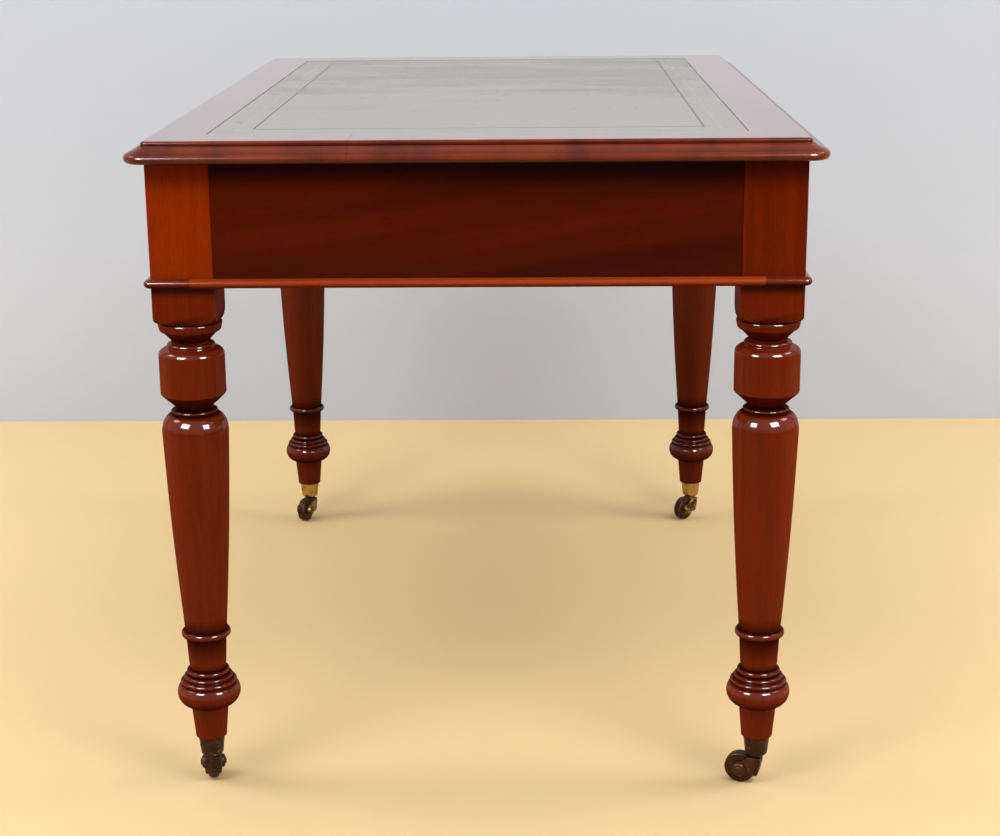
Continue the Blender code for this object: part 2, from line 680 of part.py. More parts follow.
def strip(name, low_y, high_y, low_z, high_z):
    """A plain strip from the back rail to the front rails."""
    box(name, (BACK_FACE + GAP, low_y, low_z), (FRONT_RAIL_FACE - GAP, high_y, high_z), "carcass_pine", eased=0)


def carcass():
    """Runners under the drawer sides, guides beside them, and a kicker over the middle."""
    runner_base = OPENING_BASE - RUNNER_HEIGHT
    guide_top = OPENING_BASE + GUIDE_RISE
    for end, along in ENDS.items():
        bearing = sorted((along * (INNER_Y - GAP), along * (INNER_Y - RUNNER_WIDTH)))
        strip("runner_" + end, *bearing, runner_base, OPENING_BASE)
        low_y, high_y = sorted((along * (END_FACE - GAP), along * INNER_Y))
        box("guide_" + end, (GAP - INNER_X, low_y, runner_base), (INNER_X - GAP, high_y, guide_top),
            "carcass_pine", eased=0)
    half = MUNTIN_WIDTH / 2
    strip("runner_centre", -half - RUNNER_WIDTH, half + RUNNER_WIDTH, runner_base, OPENING_BASE)
    strip("guide_centre", -half, half, OPENING_BASE + GAP, guide_top)
    strip("kicker_centre", -half - KICKER_WIDTH, half + KICKER_WIDTH, OPENING_TOP, FRAME_TOP)


def drawer_stops():
    """Blocks on the bottom rail that the backs of the drawer fronts come up against."""
    face = HALF_WIDTH - DRAWER_FRONT_THICKNESS
    base = OPENING_BASE + GAP
    for end, along in ENDS.items():
        middle = sum(drawer_span(along)) / 2
        box("drawer_stop_" + end, (face - STOP_SIZE.x, middle - STOP_SIZE.y / 2, base),
            (face, middle + STOP_SIZE.y / 2, base + STOP_SIZE.z), "drawer_oak", eased=0)


# Drawers


def drawer_span(along):
    """The Y range of one drawer's opening, less its clearance."""
    low, high = sorted((along * MUNTIN_WIDTH / 2, along * INNER_Y))
    return low + DRAWER_SIDE_CLEARANCE, high - DRAWER_SIDE_CLEARANCE


def tail_heights(base, top):
    pitch = (top - base) / TAIL_COUNT
    return [base + pitch / 2 + pitch * index for index in range(TAIL_COUNT)]


def side_outline(back, shoulder, base, top):
    """A drawer side seen square on: a plain back end, and dovetails at the front end."""
    tip = shoulder + TAIL_LENGTH
    points = [(back, base), (shoulder, base)]
    for height in tail_heights(base, top):
        narrow = TAIL_WIDTH / 2 - TAIL_FLARE
        wide = TAIL_WIDTH / 2
        points += [(shoulder, height - narrow), (tip, height - wide)]
        points += [(tip, height + wide), (shoulder, height + narrow)]
    points += [(shoulder, top), (back, top)]
    return points


def tail_sockets(name, shoulder, base, top, low_y, high_y):
    """Prisms a little larger than the tails, to cut their sockets in the drawer front."""
    form = bmesh.new()
    tip = shoulder + TAIL_LENGTH + GAP
    root = shoulder - OVERRUN
    lost = TAIL_FLARE * (OVERRUN + TAIL_LENGTH) / TAIL_LENGTH
    for height in tail_heights(base, top):
        wide = TAIL_WIDTH / 2 + GAP
        narrow = wide - lost
        outline = [(root, height - narrow), (root, height + narrow), (tip, height + wide), (tip, height - wide)]
        end = [form.verts.new((x, low_y, z)) for x, z in outline]
        face = form.faces.new(end)
        made = bmesh.ops.extrude_face_region(form, geom=[face])["geom"]
        rim = [part for part in made if isinstance(part, bmesh.types.BMVert)]
        bmesh.ops.translate(form, verts=rim, vec=(0, high_y - low_y, 0))
    bmesh.ops.recalc_face_normals(form, faces=form.faces)
    return guide(name, finish_mesh(name, form))


def knob_pattern():
    """A turned knob along X: a shank in the drawer front, a neck, and a domed face."""
    swell = KNOB_PROJECTION - KNOB_NECK_LENGTH
    rim = swell / 3
    profile = [(0, KNOB_PROJECTION)]
    profile += arc((0, KNOB_PROJECTION - rim), (KNOB_RADIUS, rim), 60, 0, 2)
    cheek = (KNOB_RADIUS - KNOB_NECK_RADIUS, swell - rim)
    profile += arc((KNOB_NECK_RADIUS, KNOB_PROJECTION - rim), cheek, -30, -90, 2)
    profile.append((KNOB_NECK_RADIUS, GAP))
    profile += [(KNOB_SHANK_RADIUS, GAP), (KNOB_SHANK_RADIUS, -KNOB_SHANK_LENGTH), (0, -KNOB_SHANK_LENGTH)]
    mesh = applied(turned("knob pattern", profile, KNOB_STEPS))
    mesh.transform(Matrix.Rotation(math.radians(90), 4, "Y"))
    return mesh


def drawer(number, along, knob):
    prefix = "drawer_" + str(number) + "_"
    low_y, high_y = drawer_span(along)
    base = OPENING_BASE + GAP
    top = OPENING_TOP - DRAWER_HEAD_CLEARANCE
    shoulder = HALF_WIDTH - DRAWER_FRONT_THICKNESS
    back_end = HALF_WIDTH - DRAWER_LENGTH
    face_base = OPENING_BASE + DRAWER_FACE_CLEARANCE
    bottom_low = base + DRAWER_BOTTOM_RISE
    bottom_high = bottom_low + DRAWER_BOTTOM_THICKNESS
    bottom_front = shoulder + GROOVE_DEPTH
    grooves = guide("grooves " + prefix, boxes_mesh("grooves", [(
        (back_end - OVERRUN, low_y + DRAWER_SIDE_THICKNESS - GROOVE_DEPTH, bottom_low),
        (bottom_front, high_y - DRAWER_SIDE_THICKNESS + GROOVE_DEPTH, bottom_high))]))
    back_low = back_end + DRAWER_BACK_INSET
    housing = guide("housing " + prefix, boxes_mesh("housing", [(
        (back_low, low_y + DRAWER_SIDE_THICKNESS - GROOVE_DEPTH, bottom_high),
        (back_low + DRAWER_BACK_THICKNESS, high_y - DRAWER_SIDE_THICKNESS + GROOVE_DEPTH, top + OVERRUN))]))
    front = place(prefix + "front", boxes_mesh(prefix + "front", [(
        (shoulder + GAP, low_y, face_base), (HALF_WIDTH, high_y, top))]), "polished_mahogany")
    combine(front, "DIFFERENCE", grooves)
    spans = {"near": (low_y, low_y + DRAWER_SIDE_THICKNESS), "far": (high_y - DRAWER_SIDE_THICKNESS, high_y)}
    for end, (inner, outer) in spans.items():
        board = plate(prefix + "side", side_outline(back_end, shoulder, base, top), DRAWER_SIDE_THICKNESS)
        side = place(prefix + "side_" + end, board, "drawer_oak", (0, (inner + outer) / 2, 0))
        combine(side, "DIFFERENCE", grooves)
        combine(side, "DIFFERENCE", housing)
        reach = {"near": (inner - OVERRUN, outer + GAP), "far": (inner - GAP, outer + OVERRUN)}[end]
        combine(front, "DIFFERENCE", tail_sockets("sockets " + prefix + end, shoulder, base, top, *reach))
    inset = DRAWER_SIDE_THICKNESS - GROOVE_DEPTH + GAP
    box(prefix + "bottom", (back_end + GAP, low_y + inset, bottom_low + GAP),
        (bottom_front - GAP, high_y - inset, bottom_high - GAP), "drawer_oak", eased=0)
    box(prefix + "back", (back_low + GAP, low_y + inset, bottom_high + GAP),
        (back_low + DRAWER_BACK_THICKNESS - GAP, high_y - inset, top - DRAWER_BACK_DROP), "drawer_oak", eased=0)
    middle = (face_base + top) / 2
    for end, share in (("near", KNOB_PLACE_SHARE), ("far", 1 - KNOB_PLACE_SHARE)):
        spot = (HALF_WIDTH, low_y + (high_y - low_y) * share, middle)
        place(prefix + "knob_" + end, knob, "turned_mahogany", spot)
        bore = cylinder_mesh(KNOB_SHANK_RADIUS + GAP, -KNOB_SHANK_LENGTH - GAP, OVERRUN, KNOB_STEPS, "X")
        combine(front, "DIFFERENCE", guide("knob bore " + end, bore, spot))


# Castors


def socket_mesh():
    """A brass cup over the leg's spigot, with a bore below for the swivel."""
    rim_top = ANKLE_BASE - GAP
    cup = SPIGOT_RADIUS + GAP
    floor = ANKLE_BASE - SPIGOT_LENGTH - GAP
    bore = SWIVEL_RADIUS + GAP
    swell = SOCKET_BASE + SOCKET_CUP_HEIGHT
    foot = (SOCKET_BASE_RADIUS - SOCKET_FOOT_RADIUS, SOCKET_CUP_HEIGHT)
    profile = [(SOCKET_TOP_RADIUS, rim_top)] + arc((SOCKET_FOOT_RADIUS, swell), foot, 0, -90, 3)
    profile += [(bore, SOCKET_BASE), (bore, floor), (cup, floor), (cup, rim_top)]
    return applied(turned("socket pattern", profile, SOCKET_STEPS, closed=True))


def fork_outline():
    """The fork seen from the side: forward is +X, and the wheel trails towards -X."""
    top = SOCKET_BASE - GAP - FORK_NECK_HEIGHT / 2
    drop = top - FORK_HORN_BASE
    points = [(-FORK_NECK_RADIUS, top)]
    points += [(FORK_HORN_REACH * reach, top - drop * down) for reach, down in FORK_HORN_SHARES]
    lobe = BOSS_RADIUS - BOSS_STEP
    points += arc((-TRAIL, WHEEL_RADIUS), (lobe, lobe), -80, -280, 5)
    return points


def fork_mesh():
    """Two cheeks with bosses for the axle, joined in front of the wheel under a neck and its pin."""
    axle_place = (-TRAIL, 0, WHEEL_RADIUS)
    neck_top = SOCKET_BASE - GAP
    neck_low = neck_top - FORK_NECK_HEIGHT
    pin_low = neck_top - FORK_NECK_HEIGHT / 2
    pin_top = ANKLE_BASE - SPIGOT_LENGTH - GAP - SWIVEL_TOP_CLEARANCE
    room = WHEEL_THICKNESS / 2 + WHEEL_SIDE_CLEARANCE
    tread = WHEEL_RADIUS + WHEEL_TREAD_CLEARANCE
    boss = cylinder_mesh(BOSS_RADIUS, -BOSS_WIDTH / 2, BOSS_WIDTH / 2, FORK_STEPS, "Y")
    neck = cylinder_mesh(FORK_NECK_RADIUS, neck_low, neck_top, FORK_STEPS)
    pin = cylinder_mesh(SWIVEL_RADIUS, pin_low, pin_top, FORK_STEPS)
    well = cylinder_mesh(tread, -room, room, WHEEL_STEPS, "Y")
    hole = cylinder_mesh(AXLE_RADIUS + GAP, -BOSS_WIDTH, BOSS_WIDTH, AXLE_STEPS, "Y")
    fork = guide("fork body", plate("fork body", fork_outline(), FORK_WIDTH))
    combine(fork, "UNION", guide("fork boss", boss, axle_place))
    combine(fork, "UNION", guide("fork neck", neck))
    combine(fork, "UNION", guide("swivel pin", pin))
    combine(fork, "DIFFERENCE", guide("wheel well", well, axle_place))
    combine(fork, "DIFFERENCE", guide("axle hole", hole, axle_place))
    return applied(fork)


def wheel_mesh():
    half = WHEEL_THICKNESS / 2
    tread = WHEEL_RADIUS - WHEEL_EDGE
    bore = AXLE_RADIUS + GAP
    profile = [(bore, half)]
    profile += arc((tread, half - WHEEL_EDGE), (WHEEL_EDGE, WHEEL_EDGE), 90, 0, 2)
    profile += arc((tread, WHEEL_EDGE - half), (WHEEL_EDGE, WHEEL_EDGE), 0, -90, 2)
    profile.append((bore, -half))
    mesh = applied(turned("wheel pattern", profile, WHEEL_STEPS, closed=True))
    mesh.transform(Matrix.Rotation(math.radians(90), 4, "X"))
    return mesh


def axle_mesh():
    """A plain pin with a riveted head at each end."""
    face = BOSS_WIDTH / 2 + GAP
    tip = face + AXLE_HEAD_HEIGHT
    half = [(0, tip), (AXLE_HEAD_CROWN_RADIUS, tip), (AXLE_HEAD_RADIUS, face), (AXLE_RADIUS, face)]
    profile = half + [(radius, -height) for radius, height in reversed(half)]
    mesh = applied(turned("axle pattern", profile, AXLE_STEPS))
    mesh.transform(Matrix.Rotation(math.radians(90), 4, "X"))
    return mesh


def castors():
    socket, fork, wheel, axle = socket_mesh(), fork_mesh(), wheel_mesh(), axle_mesh()
    for end, along in ENDS.items():
        for side, across in SIDES.items():
            name = end + "_" + side
            foot = Vector((across * LEG_X, along * LEG_Y, 0))
            trail = math.radians(TRAIL_ANGLES[name])
            turn = trail + math.radians(180)
            hub = foot + Vector((TRAIL * math.cos(trail), TRAIL * math.sin(trail), WHEEL_RADIUS))
            place("castor_socket_" + name, socket, "aged_brass", foot)
            place("castor_fork_" + name, fork, "aged_brass", foot, turn)
            place("castor_wheel_" + name, wheel, "wheel_brass", hub, turn)
            place("castor_axle_" + name, axle, "aged_brass", hub, turn)


def build_table():
    top_boards()
    legs_made = legs()
    end_rail("near", legs_made)
    end_rail("far", legs_made)
    back_rail(legs_made)
    front_frame(legs_made)
    bead()
    carcass()
    drawer_stops()
    knob = knob_pattern()
    drawer(1, ENDS["near"], knob)
    drawer(2, ENDS["far"], knob)
    castors()


build_table()
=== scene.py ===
"""A writing table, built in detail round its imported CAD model.

Moulded mahogany top with a leather panel, turned legs, a beaded frieze, two drawers and socket castors.
Metres, +Z up, the origin on the floor under the middle of the table. +X points out of the drawer side.
"""
import math

import bmesh
import bpy
from mathutils import Matrix, Vector


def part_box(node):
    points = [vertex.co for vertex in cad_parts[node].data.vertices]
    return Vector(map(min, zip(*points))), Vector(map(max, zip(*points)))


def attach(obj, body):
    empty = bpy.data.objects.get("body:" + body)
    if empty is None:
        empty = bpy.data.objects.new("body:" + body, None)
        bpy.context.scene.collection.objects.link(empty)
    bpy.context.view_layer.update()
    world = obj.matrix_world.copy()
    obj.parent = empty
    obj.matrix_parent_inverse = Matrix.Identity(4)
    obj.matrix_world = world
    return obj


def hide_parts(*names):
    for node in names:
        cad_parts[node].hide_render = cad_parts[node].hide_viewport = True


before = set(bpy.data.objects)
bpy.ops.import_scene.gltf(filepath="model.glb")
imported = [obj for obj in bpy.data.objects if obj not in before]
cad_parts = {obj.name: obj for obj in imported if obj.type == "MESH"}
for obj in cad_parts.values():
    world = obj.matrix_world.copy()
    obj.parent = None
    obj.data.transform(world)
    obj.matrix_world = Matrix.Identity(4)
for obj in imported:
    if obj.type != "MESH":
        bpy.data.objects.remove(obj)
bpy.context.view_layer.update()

bl_info = {
    "name": "Writing table",
    "version": (1, 0, 0),
    "blender": (4, 5, 0),
    "location": "View3D > Sidebar > Writing table",
    "description": "Builds a mahogany writing table with turned legs, drawers and castors",
    "category": "Object",
}

# Fits and meshing
GAP = 0.0003
WELD = 0.00002
OVERRUN = 0.004
SHARP_ANGLE = math.radians(32)
QUARTER = math.radians(90)
SIDES = {"left": -1, "right": 1}
ENDS = {"near": -1, "far": 1}
CORNERS = {end + "_" + side: (SIDES[side], ENDS[end]) for end in ENDS for side in SIDES}

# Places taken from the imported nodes
TOP_LOW = Vector(map(min, *(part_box("top_board_" + side)[0] for side in SIDES)))
TOP_HIGH = Vector(map(max, *(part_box("top_board_" + side)[1] for side in SIDES)))
TOP_JOINT = (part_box("top_board_left")[1].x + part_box("top_board_right")[0].x) / 2
LEATHER_LOW, LEATHER_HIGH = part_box("writing_leather")
LEG_LOW, LEG_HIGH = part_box("leg_far_right")
LEG_X = (LEG_LOW.x + LEG_HIGH.x) / 2
LEG_Y = (LEG_LOW.y + LEG_HIGH.y) / 2
FRAME_TOP = LEG_HIGH.z
FRIEZE_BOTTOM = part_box("rail_near_end")[0].z
BLOCK = 0.069
HALF_WIDTH = LEG_X + BLOCK / 2
HALF_LENGTH = LEG_Y + BLOCK / 2


# Sizes and colours that a user may change


def length(name, description, default):
    return bpy.props.FloatProperty(name=name, description=description, default=default, unit="LENGTH")


def tint(name, description, default):
    return bpy.props.FloatVectorProperty(
        name=name, description=description, default=default, subtype="COLOR", size=3)


class TopSettings(bpy.types.PropertyGroup):
    cove_bead: length("Top bead", "Radius of the bead under the arris", 0.0042)
    cove_quirk: length("Quirk", "Height of the fillet under the top bead", 0.0008)
    ovolo_step: length("Step", "Width of the step above the ovolo", 0.001)
    ovolo_reach: length("Ovolo reach", "How far the ovolo stands out", 0.0034)
    ovolo_drop: length("Ovolo drop", "Height of the ovolo", 0.0032)
    ledge_width: length("Slope", "Width of the slope above the nosing", 0.0091)
    nose_radius: length("Nosing", "Radius of the round lower edge", 0.0055)
    arris_radius: length("Corner", "Radius of the top's corners, seen from above", 0.002)
    leather_line: length("Tooled line", "From the leather's edge to its tooled line", 0.045)


class LegSettings(bpy.types.PropertyGroup):
    block_edge: length("Block edge", "Radius of the block's worn edges", 0.0012)
    steps: bpy.props.IntProperty(
        name="Turning steps", description="Facets round one leg", default=72, min=12, max=128)


class FinishSettings(bpy.types.PropertyGroup):
    light_wood: tint("Light mahogany", "Lighter tone of the legs", (0.165, 0.0150, 0.0001))
    dark_wood: tint("Dark mahogany", "Darker tone of the legs", (0.085, 0.0070, 0.0001))
    light_rail: tint("Light rail", "Lighter tone of the end and back rails", (0.090, 0.0078, 0.0003))
    dark_rail: tint("Dark rail", "Darker tone of the end and back rails", (0.042, 0.0038, 0.0010))
    leather: tint("Leather", "Colour of the leather", (0.165, 0.154, 0.128))
    worn_leather: tint("Worn leather", "Colour of the leather where it is worn", (0.230, 0.218, 0.188))
    brass: tint("Brass", "Colour of clean brass", (0.52, 0.33, 0.10))
    tarnish: tint("Tarnish", "Colour of tarnished brass", (0.030, 0.012, 0.004))
    red_tarnish: tint("Red tarnish", "Colour of brass gone red in patches", (0.085, 0.024, 0.006))
    oak: tint("Oak", "Colour of the drawer linings", (0.42, 0.25, 0.12))
    pine: tint("Pine", "Colour of the runners and guides", (0.50, 0.31, 0.15))


class StageSettings(bpy.types.PropertyGroup):
    floor: tint("Floor", "Colour of the floor", (0.655, 0.478, 0.252))
    wall: tint("Wall", "Colour of the wall behind the table", (0.400, 0.430, 0.487))
    wall_distance: length("Wall distance", "From the table's middle to the wall", 1.11)
    daylight: bpy.props.FloatProperty(
        name="Daylight", description="Strength of the light from all round", default=0.16)
    background: bpy.props.FloatProperty(
        name="Background", description="Brightness of the open space behind the floor", default=0.5)


# Shader maths


class Wire:
    """An output of a node. Arithmetic on it adds Math nodes."""

    def __init__(self, nodes, socket):
        self.nodes = nodes
        self.socket = socket

    def math(self, operation, *others):
        return self.nodes.node("Math", {"operation": operation}, dict(enumerate((self, *others))))

    def __add__(self, other):
        return self.math("ADD", other)

    def __sub__(self, other):
        return self.math("SUBTRACT", other)

    def __rsub__(self, other):
        return self.nodes.node("Math", {"operation": "SUBTRACT"}, {0: other, 1: self})

    def __mul__(self, other):
        return self.math("MULTIPLY", other)

    def __abs__(self):
        return self.math("ABSOLUTE")

    __radd__ = __add__
    __rmul__ = __mul__

    def least(self, other):
        return self.math("MINIMUM", other)

    def most(self, other):
        return self.math("MAXIMUM", other)

    def between(self, low, high, first=0.0, last=1.0):
        """Rises smoothly from first to last as the value goes from low to high."""
        values = {"Value": self, "From Min": low, "From Max": high, "To Min": first, "To Max": last}
        return self.nodes.node("MapRange", {"interpolation_type": "SMOOTHSTEP"}, values)

    def hump(self, rise, top, fall, end):
        """1 from top to fall, and 0 before rise and after end."""
        return self.between(rise, top) * self.between(fall, end, 1, 0)


class Nodes:
    """A node tree. One method makes each of its nodes."""

    def __init__(self, tree):
        self.tree = tree

    def node(self, kind, settings=None, sockets=None, output=0):
        """Add a node: its settings first, then the values or links of its sockets."""
        made = self.tree.nodes.new("ShaderNode" + kind)
        for name, value in (settings or {}).items():
            setattr(made, name, value)
        for name, value in (sockets or {}).items():
            self.feed(made.inputs[name], value)
        return Wire(self, made.outputs[output])

    def feed(self, socket, value):
        if isinstance(value, Wire):
            self.tree.links.new(value.socket, socket)
        else:
            socket.default_value = value


class Finish(Nodes):
    """A material with a Principled shader."""

    def __init__(self, name, **constants):
        self.material = bpy.data.materials.new(name)
        self.material.use_nodes = True
        super().__init__(self.material.node_tree)
        self.shader = self.tree.nodes["Principled BSDF"]
        self.surface(**constants)

    def surface(self, **values):
        for name, value in values.items():
            self.feed(self.shader.inputs[name.replace("_", " ")], value)

    def veil(self, factor, other):
        """Show another shader over the Principled one, as far as the factor says."""
        own = Wire(self, self.shader.outputs[0])
        mixed = self.node("MixShader", None, {0: factor, 1: own, 2: other})
        self.feed(self.tree.nodes["Material Output"].inputs["Surface"], mixed)

    def place(self):
        return self.node("TexCoord", output="Object")

    def part(self, vector, axis):
        return self.node("SeparateXYZ", None, {"Vector": vector}, axis)

    def crease(self):
        """The attribute that is 1 in a piece's creases."""
        return self.node("Attribute", {"attribute_name": "crease"}, output="Fac")

    def edge_on(self, low, high, first, last):
        """Goes from first to last as the surface turns away from where it is seen."""
        return self.node("LayerWeight", None, {"Blend": 0.5}, "Facing").between(low, high, first, last)

    def noise(self, vector, scale, detail=2.0, roughness=0.5, output="Fac"):
        values = {"Vector": vector, "Scale": scale, "Detail": detail, "Roughness": roughness}
        return self.node("TexNoise", None, values, output)

    def mix(self, factor, first, second):
        """Blend two colours, which are Wires or triples."""
        pair = [value if isinstance(value, Wire) else (*value, 1) for value in (first, second)]
        return self.node("Mix", {"data_type": "RGBA"}, {0: factor, 6: pair[0], 7: pair[1]}, 2)

    def bump(self, height, strength, distance):
        return self.node("Bump", None, {"Strength": strength, "Distance": distance, "Height": height})


# Finishes

GRAIN_RUN = {"X": (24, 1, 1), "Y": (1, 24, 1), "Z": (1, 1, 24)}
GRAIN_SWAY = 0.010
DASH_PITCH = 0.0065
DASH_PLACE = 0.62


def toned(colour, *shares):
    """A colour times one share, or times a share each for red, green and blue."""
    return [part * share for part, share in zip(colour, shares * (3 // len(shares)))]


def grained(wood, axis, slope, shift):
    """Coordinates drawn out along the grain, a little wavy."""
    place = wood.place()
    sway = wood.noise(place, 3.5, 1.0, output="Color")
    bent = wood.node("VectorMath", {"operation": "MULTIPLY_ADD"}, {0: sway, 1: (GRAIN_SWAY,) * 3, 2: place})
    turns = {"X": (0, slope, 0), "Y": (slope, 0, 0), "Z": (0, slope, 0)}
    return wood.node("Mapping", {"vector_type": "TEXTURE"}, {
        "Vector": bent, "Location": (shift, shift, shift), "Rotation": turns[axis], "Scale": GRAIN_RUN[axis]})


def mahogany(name, axis, light, dark, gloss=0.10, slope=0.0, shift=0.0, figure=0.6, rim=0.3, pale=0.0,
             under=0.0, shade=0.85, underside=(-0.6, -0.1, 0.6), full=(0.04, 0.24)):
    """French-polished mahogany: broad figure, fine lines, pores, and old polish with painted shade in the
    creases.

    The grain leans by slope and is moved by shift, and figure weighs its bands against its lines. gloss is
    the roughness of the polish, under the gloss of the wood below it, and shade the painted shadow below the
    top. The polish fades to the share rim where it is seen edge on, and grows as a face turns upwards through
    the two limits of full. Above the bead, pale paints a lighter sheen on the wood. Faces that turn down
    through the first two numbers of underside take painted shade by the third.
    """
    wood = Finish(name, IOR=1.5, Coat_Roughness=gloss, Coat_IOR=1.5, Specular_IOR_Level=under)
    grain = grained(wood, axis, slope, shift)
    bands = wood.noise(grain, 17, 2.0).between(0.33, 0.67)
    lines = wood.noise(grain, 120, 3.0, 0.6)
    hairs = wood.noise(grain, 620, 2.0, 0.6)
    pores = wood.noise(grain, 1500, 1.0).between(0.60, 0.70)
    cloud = wood.noise(grain, 26, 3.0, 0.55)
    crease = wood.crease()
    height = wood.part(wood.place(), "Z")
    upward = wood.part(wood.node("TexCoord", output="Normal"), "Z")
    tone = (bands * figure + lines * 0.75 * (1 - figure) + hairs * 0.4 * (1 - figure)).between(0.05, 0.95)
    colour = wood.mix(tone, dark, light)
    # Painted sheen: the block above the bead is made lighter
    if pale:
        above = height.between(FRIEZE_BOTTOM - 0.003, FRIEZE_BOTTOM + 0.003)
        colour = wood.mix(above * pale * (0.5 + tone * 0.5), colour, toned(light, 1.8, 2.0, 1.0))
    colour = wood.mix(pores * 0.35, colour, toned(dark, 0.35))
    colour = wood.mix(cloud.between(0.42, 0.80) * 0.35, colour, toned(dark, 0.8))
    # The creases darken: partly old polish, partly painted shade
    colour = wood.mix(crease * 0.85, colour, toned(dark, 0.12))
    # Painted shadow below the top and below the bead, and painted shade on faces that turn downwards
    top_shadow = height.hump(FRAME_TOP - 0.034, FRAME_TOP - 0.003, FRAME_TOP, FRAME_TOP + 0.0002)
    bead = FRIEZE_BOTTOM
    bead_shadow = height.hump(bead - 0.015, bead - 0.004, bead - 0.0012, bead)
    below = upward.between(*underside, 0.0)
    grime_and_shade = (top_shadow * shade).most(bead_shadow * 0.8).most(below)
    colour = wood.mix(grime_and_shade, colour, toned(dark, 0.15))
    relief = lines * 0.5 + hairs * 0.4 - pores * 0.6
    polish = wood.edge_on(0.25, 0.85, 1.0, rim) * upward.between(*full, 0.2, 1.0)
    polish = polish * (1 - crease * 0.8) * (1 - below)
    wood.surface(Base_Color=colour, Roughness=0.2 if under else 0.5, Coat_Weight=polish,
                 Normal=wood.bump(relief, 0.10, 0.0004))
    return wood.material


def plain_wood(name, axis, colour):
    """Unpolished oak or pine, waxed by handling."""
    wood = Finish(name, IOR=1.45, Specular_IOR_Level=0.3)
    grain = grained(wood, axis, 0.0, 0.3)
    bands = wood.noise(grain, 45, 3.0, 0.6).between(0.3, 0.7)
    lines = wood.noise(grain, 380, 2.0, 0.6)
    pores = wood.noise(grain, 900, 1.0).between(0.58, 0.68)
    stain = wood.noise(wood.place(), 11, 4.0, 0.6).between(0.4, 0.8)
    tone = wood.mix(bands * 0.6 + lines * 0.3, toned(colour, 0.62), colour)
    tone = wood.mix(pores * 0.4, tone, toned(colour, 0.3))
    tone = wood.mix(stain * 0.4, tone, toned(colour, 0.5))
    wood.surface(Base_Color=tone, Roughness=0.62 - stain * 0.12,
                 Normal=wood.bump(lines * 0.5 - pores, 0.25, 0.0004))
    return wood.material


def writing_leather(name, settings, line):
    """Skiver leather: pebbled, rubbed pale in patches, with a dark tooled line and a faint gilt row."""
    hide = Finish(name, IOR=1.5, Coat_Roughness=0.25, Coat_IOR=1.5, Specular_IOR_Level=0.0)
    place = hide.place()
    across = hide.part(place, "X")
    along = hide.part(place, "Y")
    half_width = (LEATHER_HIGH.x - LEATHER_LOW.x) / 2
    half_length = (LEATHER_HIGH.y - LEATHER_LOW.y) / 2
    to_side = half_width - abs(across)
    to_end = half_length - abs(along)
    inset = to_side.least(to_end)
    groove = 1 - abs(inset - line).between(0.0006, 0.0015)
    rim = 1 - inset.between(0.0002, 0.0022)
    side_on = (to_end - to_side).between(-0.0001, 0.0001)
    run = along * side_on + across * (1 - side_on)
    dash = abs((run * (1 / DASH_PITCH)).math("FRACT") - 0.5).between(0.22, 0.30)
    rub = hide.noise(place, 30, 3.0, 0.6).between(0.40, 0.62)
    gilt = (1 - abs(inset - line * DASH_PLACE).between(0.0006, 0.0012)) * (1 - dash) * rub
    pebbles = hide.node("TexVoronoi", {"feature": "SMOOTH_F1"}, {"Vector": place, "Scale": 620}, "Distance")
    folds = hide.noise(place, 85, 4.0, 0.6)
    streaks = hide.node("Mapping", {"vector_type": "TEXTURE"}, {"Vector": place, "Scale": (3, 1, 1)})
    near_end = along.between(-half_length, half_length / 2, 0.30, 0.0)
    worn = (hide.noise(streaks, 9, 5.0, 0.62) + near_end).between(0.36, 0.68)
    scuffs = hide.noise(place, 34, 4.0, 0.7).between(0.60, 0.72)
    spots = hide.noise(place, 110, 3.0, 0.7).between(0.66, 0.76)
    colour = hide.mix(worn, settings.leather, settings.worn_leather)
    colour = hide.mix(inset.between(line, line + 0.002, 0.35, 0.0), colour, settings.worn_leather)
    colour = hide.mix(scuffs * 0.24 + spots * 0.22, colour, toned(settings.leather, 0.22))
    colour = hide.mix(gilt * 0.5, colour, (0.50, 0.36, 0.16))
    colour = hide.mix((groove * 0.95).most(rim * 0.5), colour, toned(settings.leather, 0.12))
    height = folds * 0.5 - pebbles * 0.6 - spots * 0.2
    hide.surface(Base_Color=colour, Roughness=0.40 + folds * 0.14 + scuffs * 0.12 - worn * 0.05,
                 Coat_Weight=hide.edge_on(0.79, 0.87, 0.0, 0.90), Normal=hide.bump(height, 0.22, 0.0006))
    return hide.material


def aged_brass(name, settings, patina, rough=0.26):
    """Cast brass, black-brown in the hollows and rubbed through to yellow in places."""
    metal = Finish(name, Metallic=1.0)
    place = metal.place()
    coat = metal.noise(place, 95, 4.0, 0.65)
    grime_and_shade = metal.noise(place, 420, 3.0, 0.7)
    cover = coat * 0.7 + grime_and_shade * 0.3 + metal.crease() * 0.5
    cover = cover.between(0.62 - patina * 0.40, 0.82 - patina * 0.40)
    rust = metal.noise(place, 60, 3.0, 0.6).between(0.45, 0.62)
    tarnish = metal.mix(rust * 0.7, settings.tarnish, settings.red_tarnish)
    colour = metal.mix(cover, settings.brass, tarnish)
    colour = metal.mix(grime_and_shade.between(0.55, 0.75) * 0.6, colour, toned(settings.tarnish, 0.4))
    metal.surface(Base_Color=colour, Metallic=1.0 - cover * 0.25,
                  Roughness=rough + cover * 0.16 + grime_and_shade * 0.1,
                  Normal=metal.bump(grime_and_shade * 0.6 + coat * 0.4, 0.3, 0.0004))
    return metal.material


# Modelling


def chain(form, points):
    """New vertices joined by edges, in order."""
    made = [form.verts.new(point) for point in points]
    edges = [form.edges.new(pair) for pair in zip(made, made[1:])]
    return made, edges


def arc(centre, reach, first, last, steps):
    """Points on an ellipse: angles in degrees, 0 points outwards and 90 points up."""
    points = []
    for step in range(steps + 1):
        angle = math.radians(first + (last - first) * step / steps)
        points.append((centre[0] + reach[0] * math.cos(angle), centre[1] + reach[1] * math.sin(angle)))
    return points


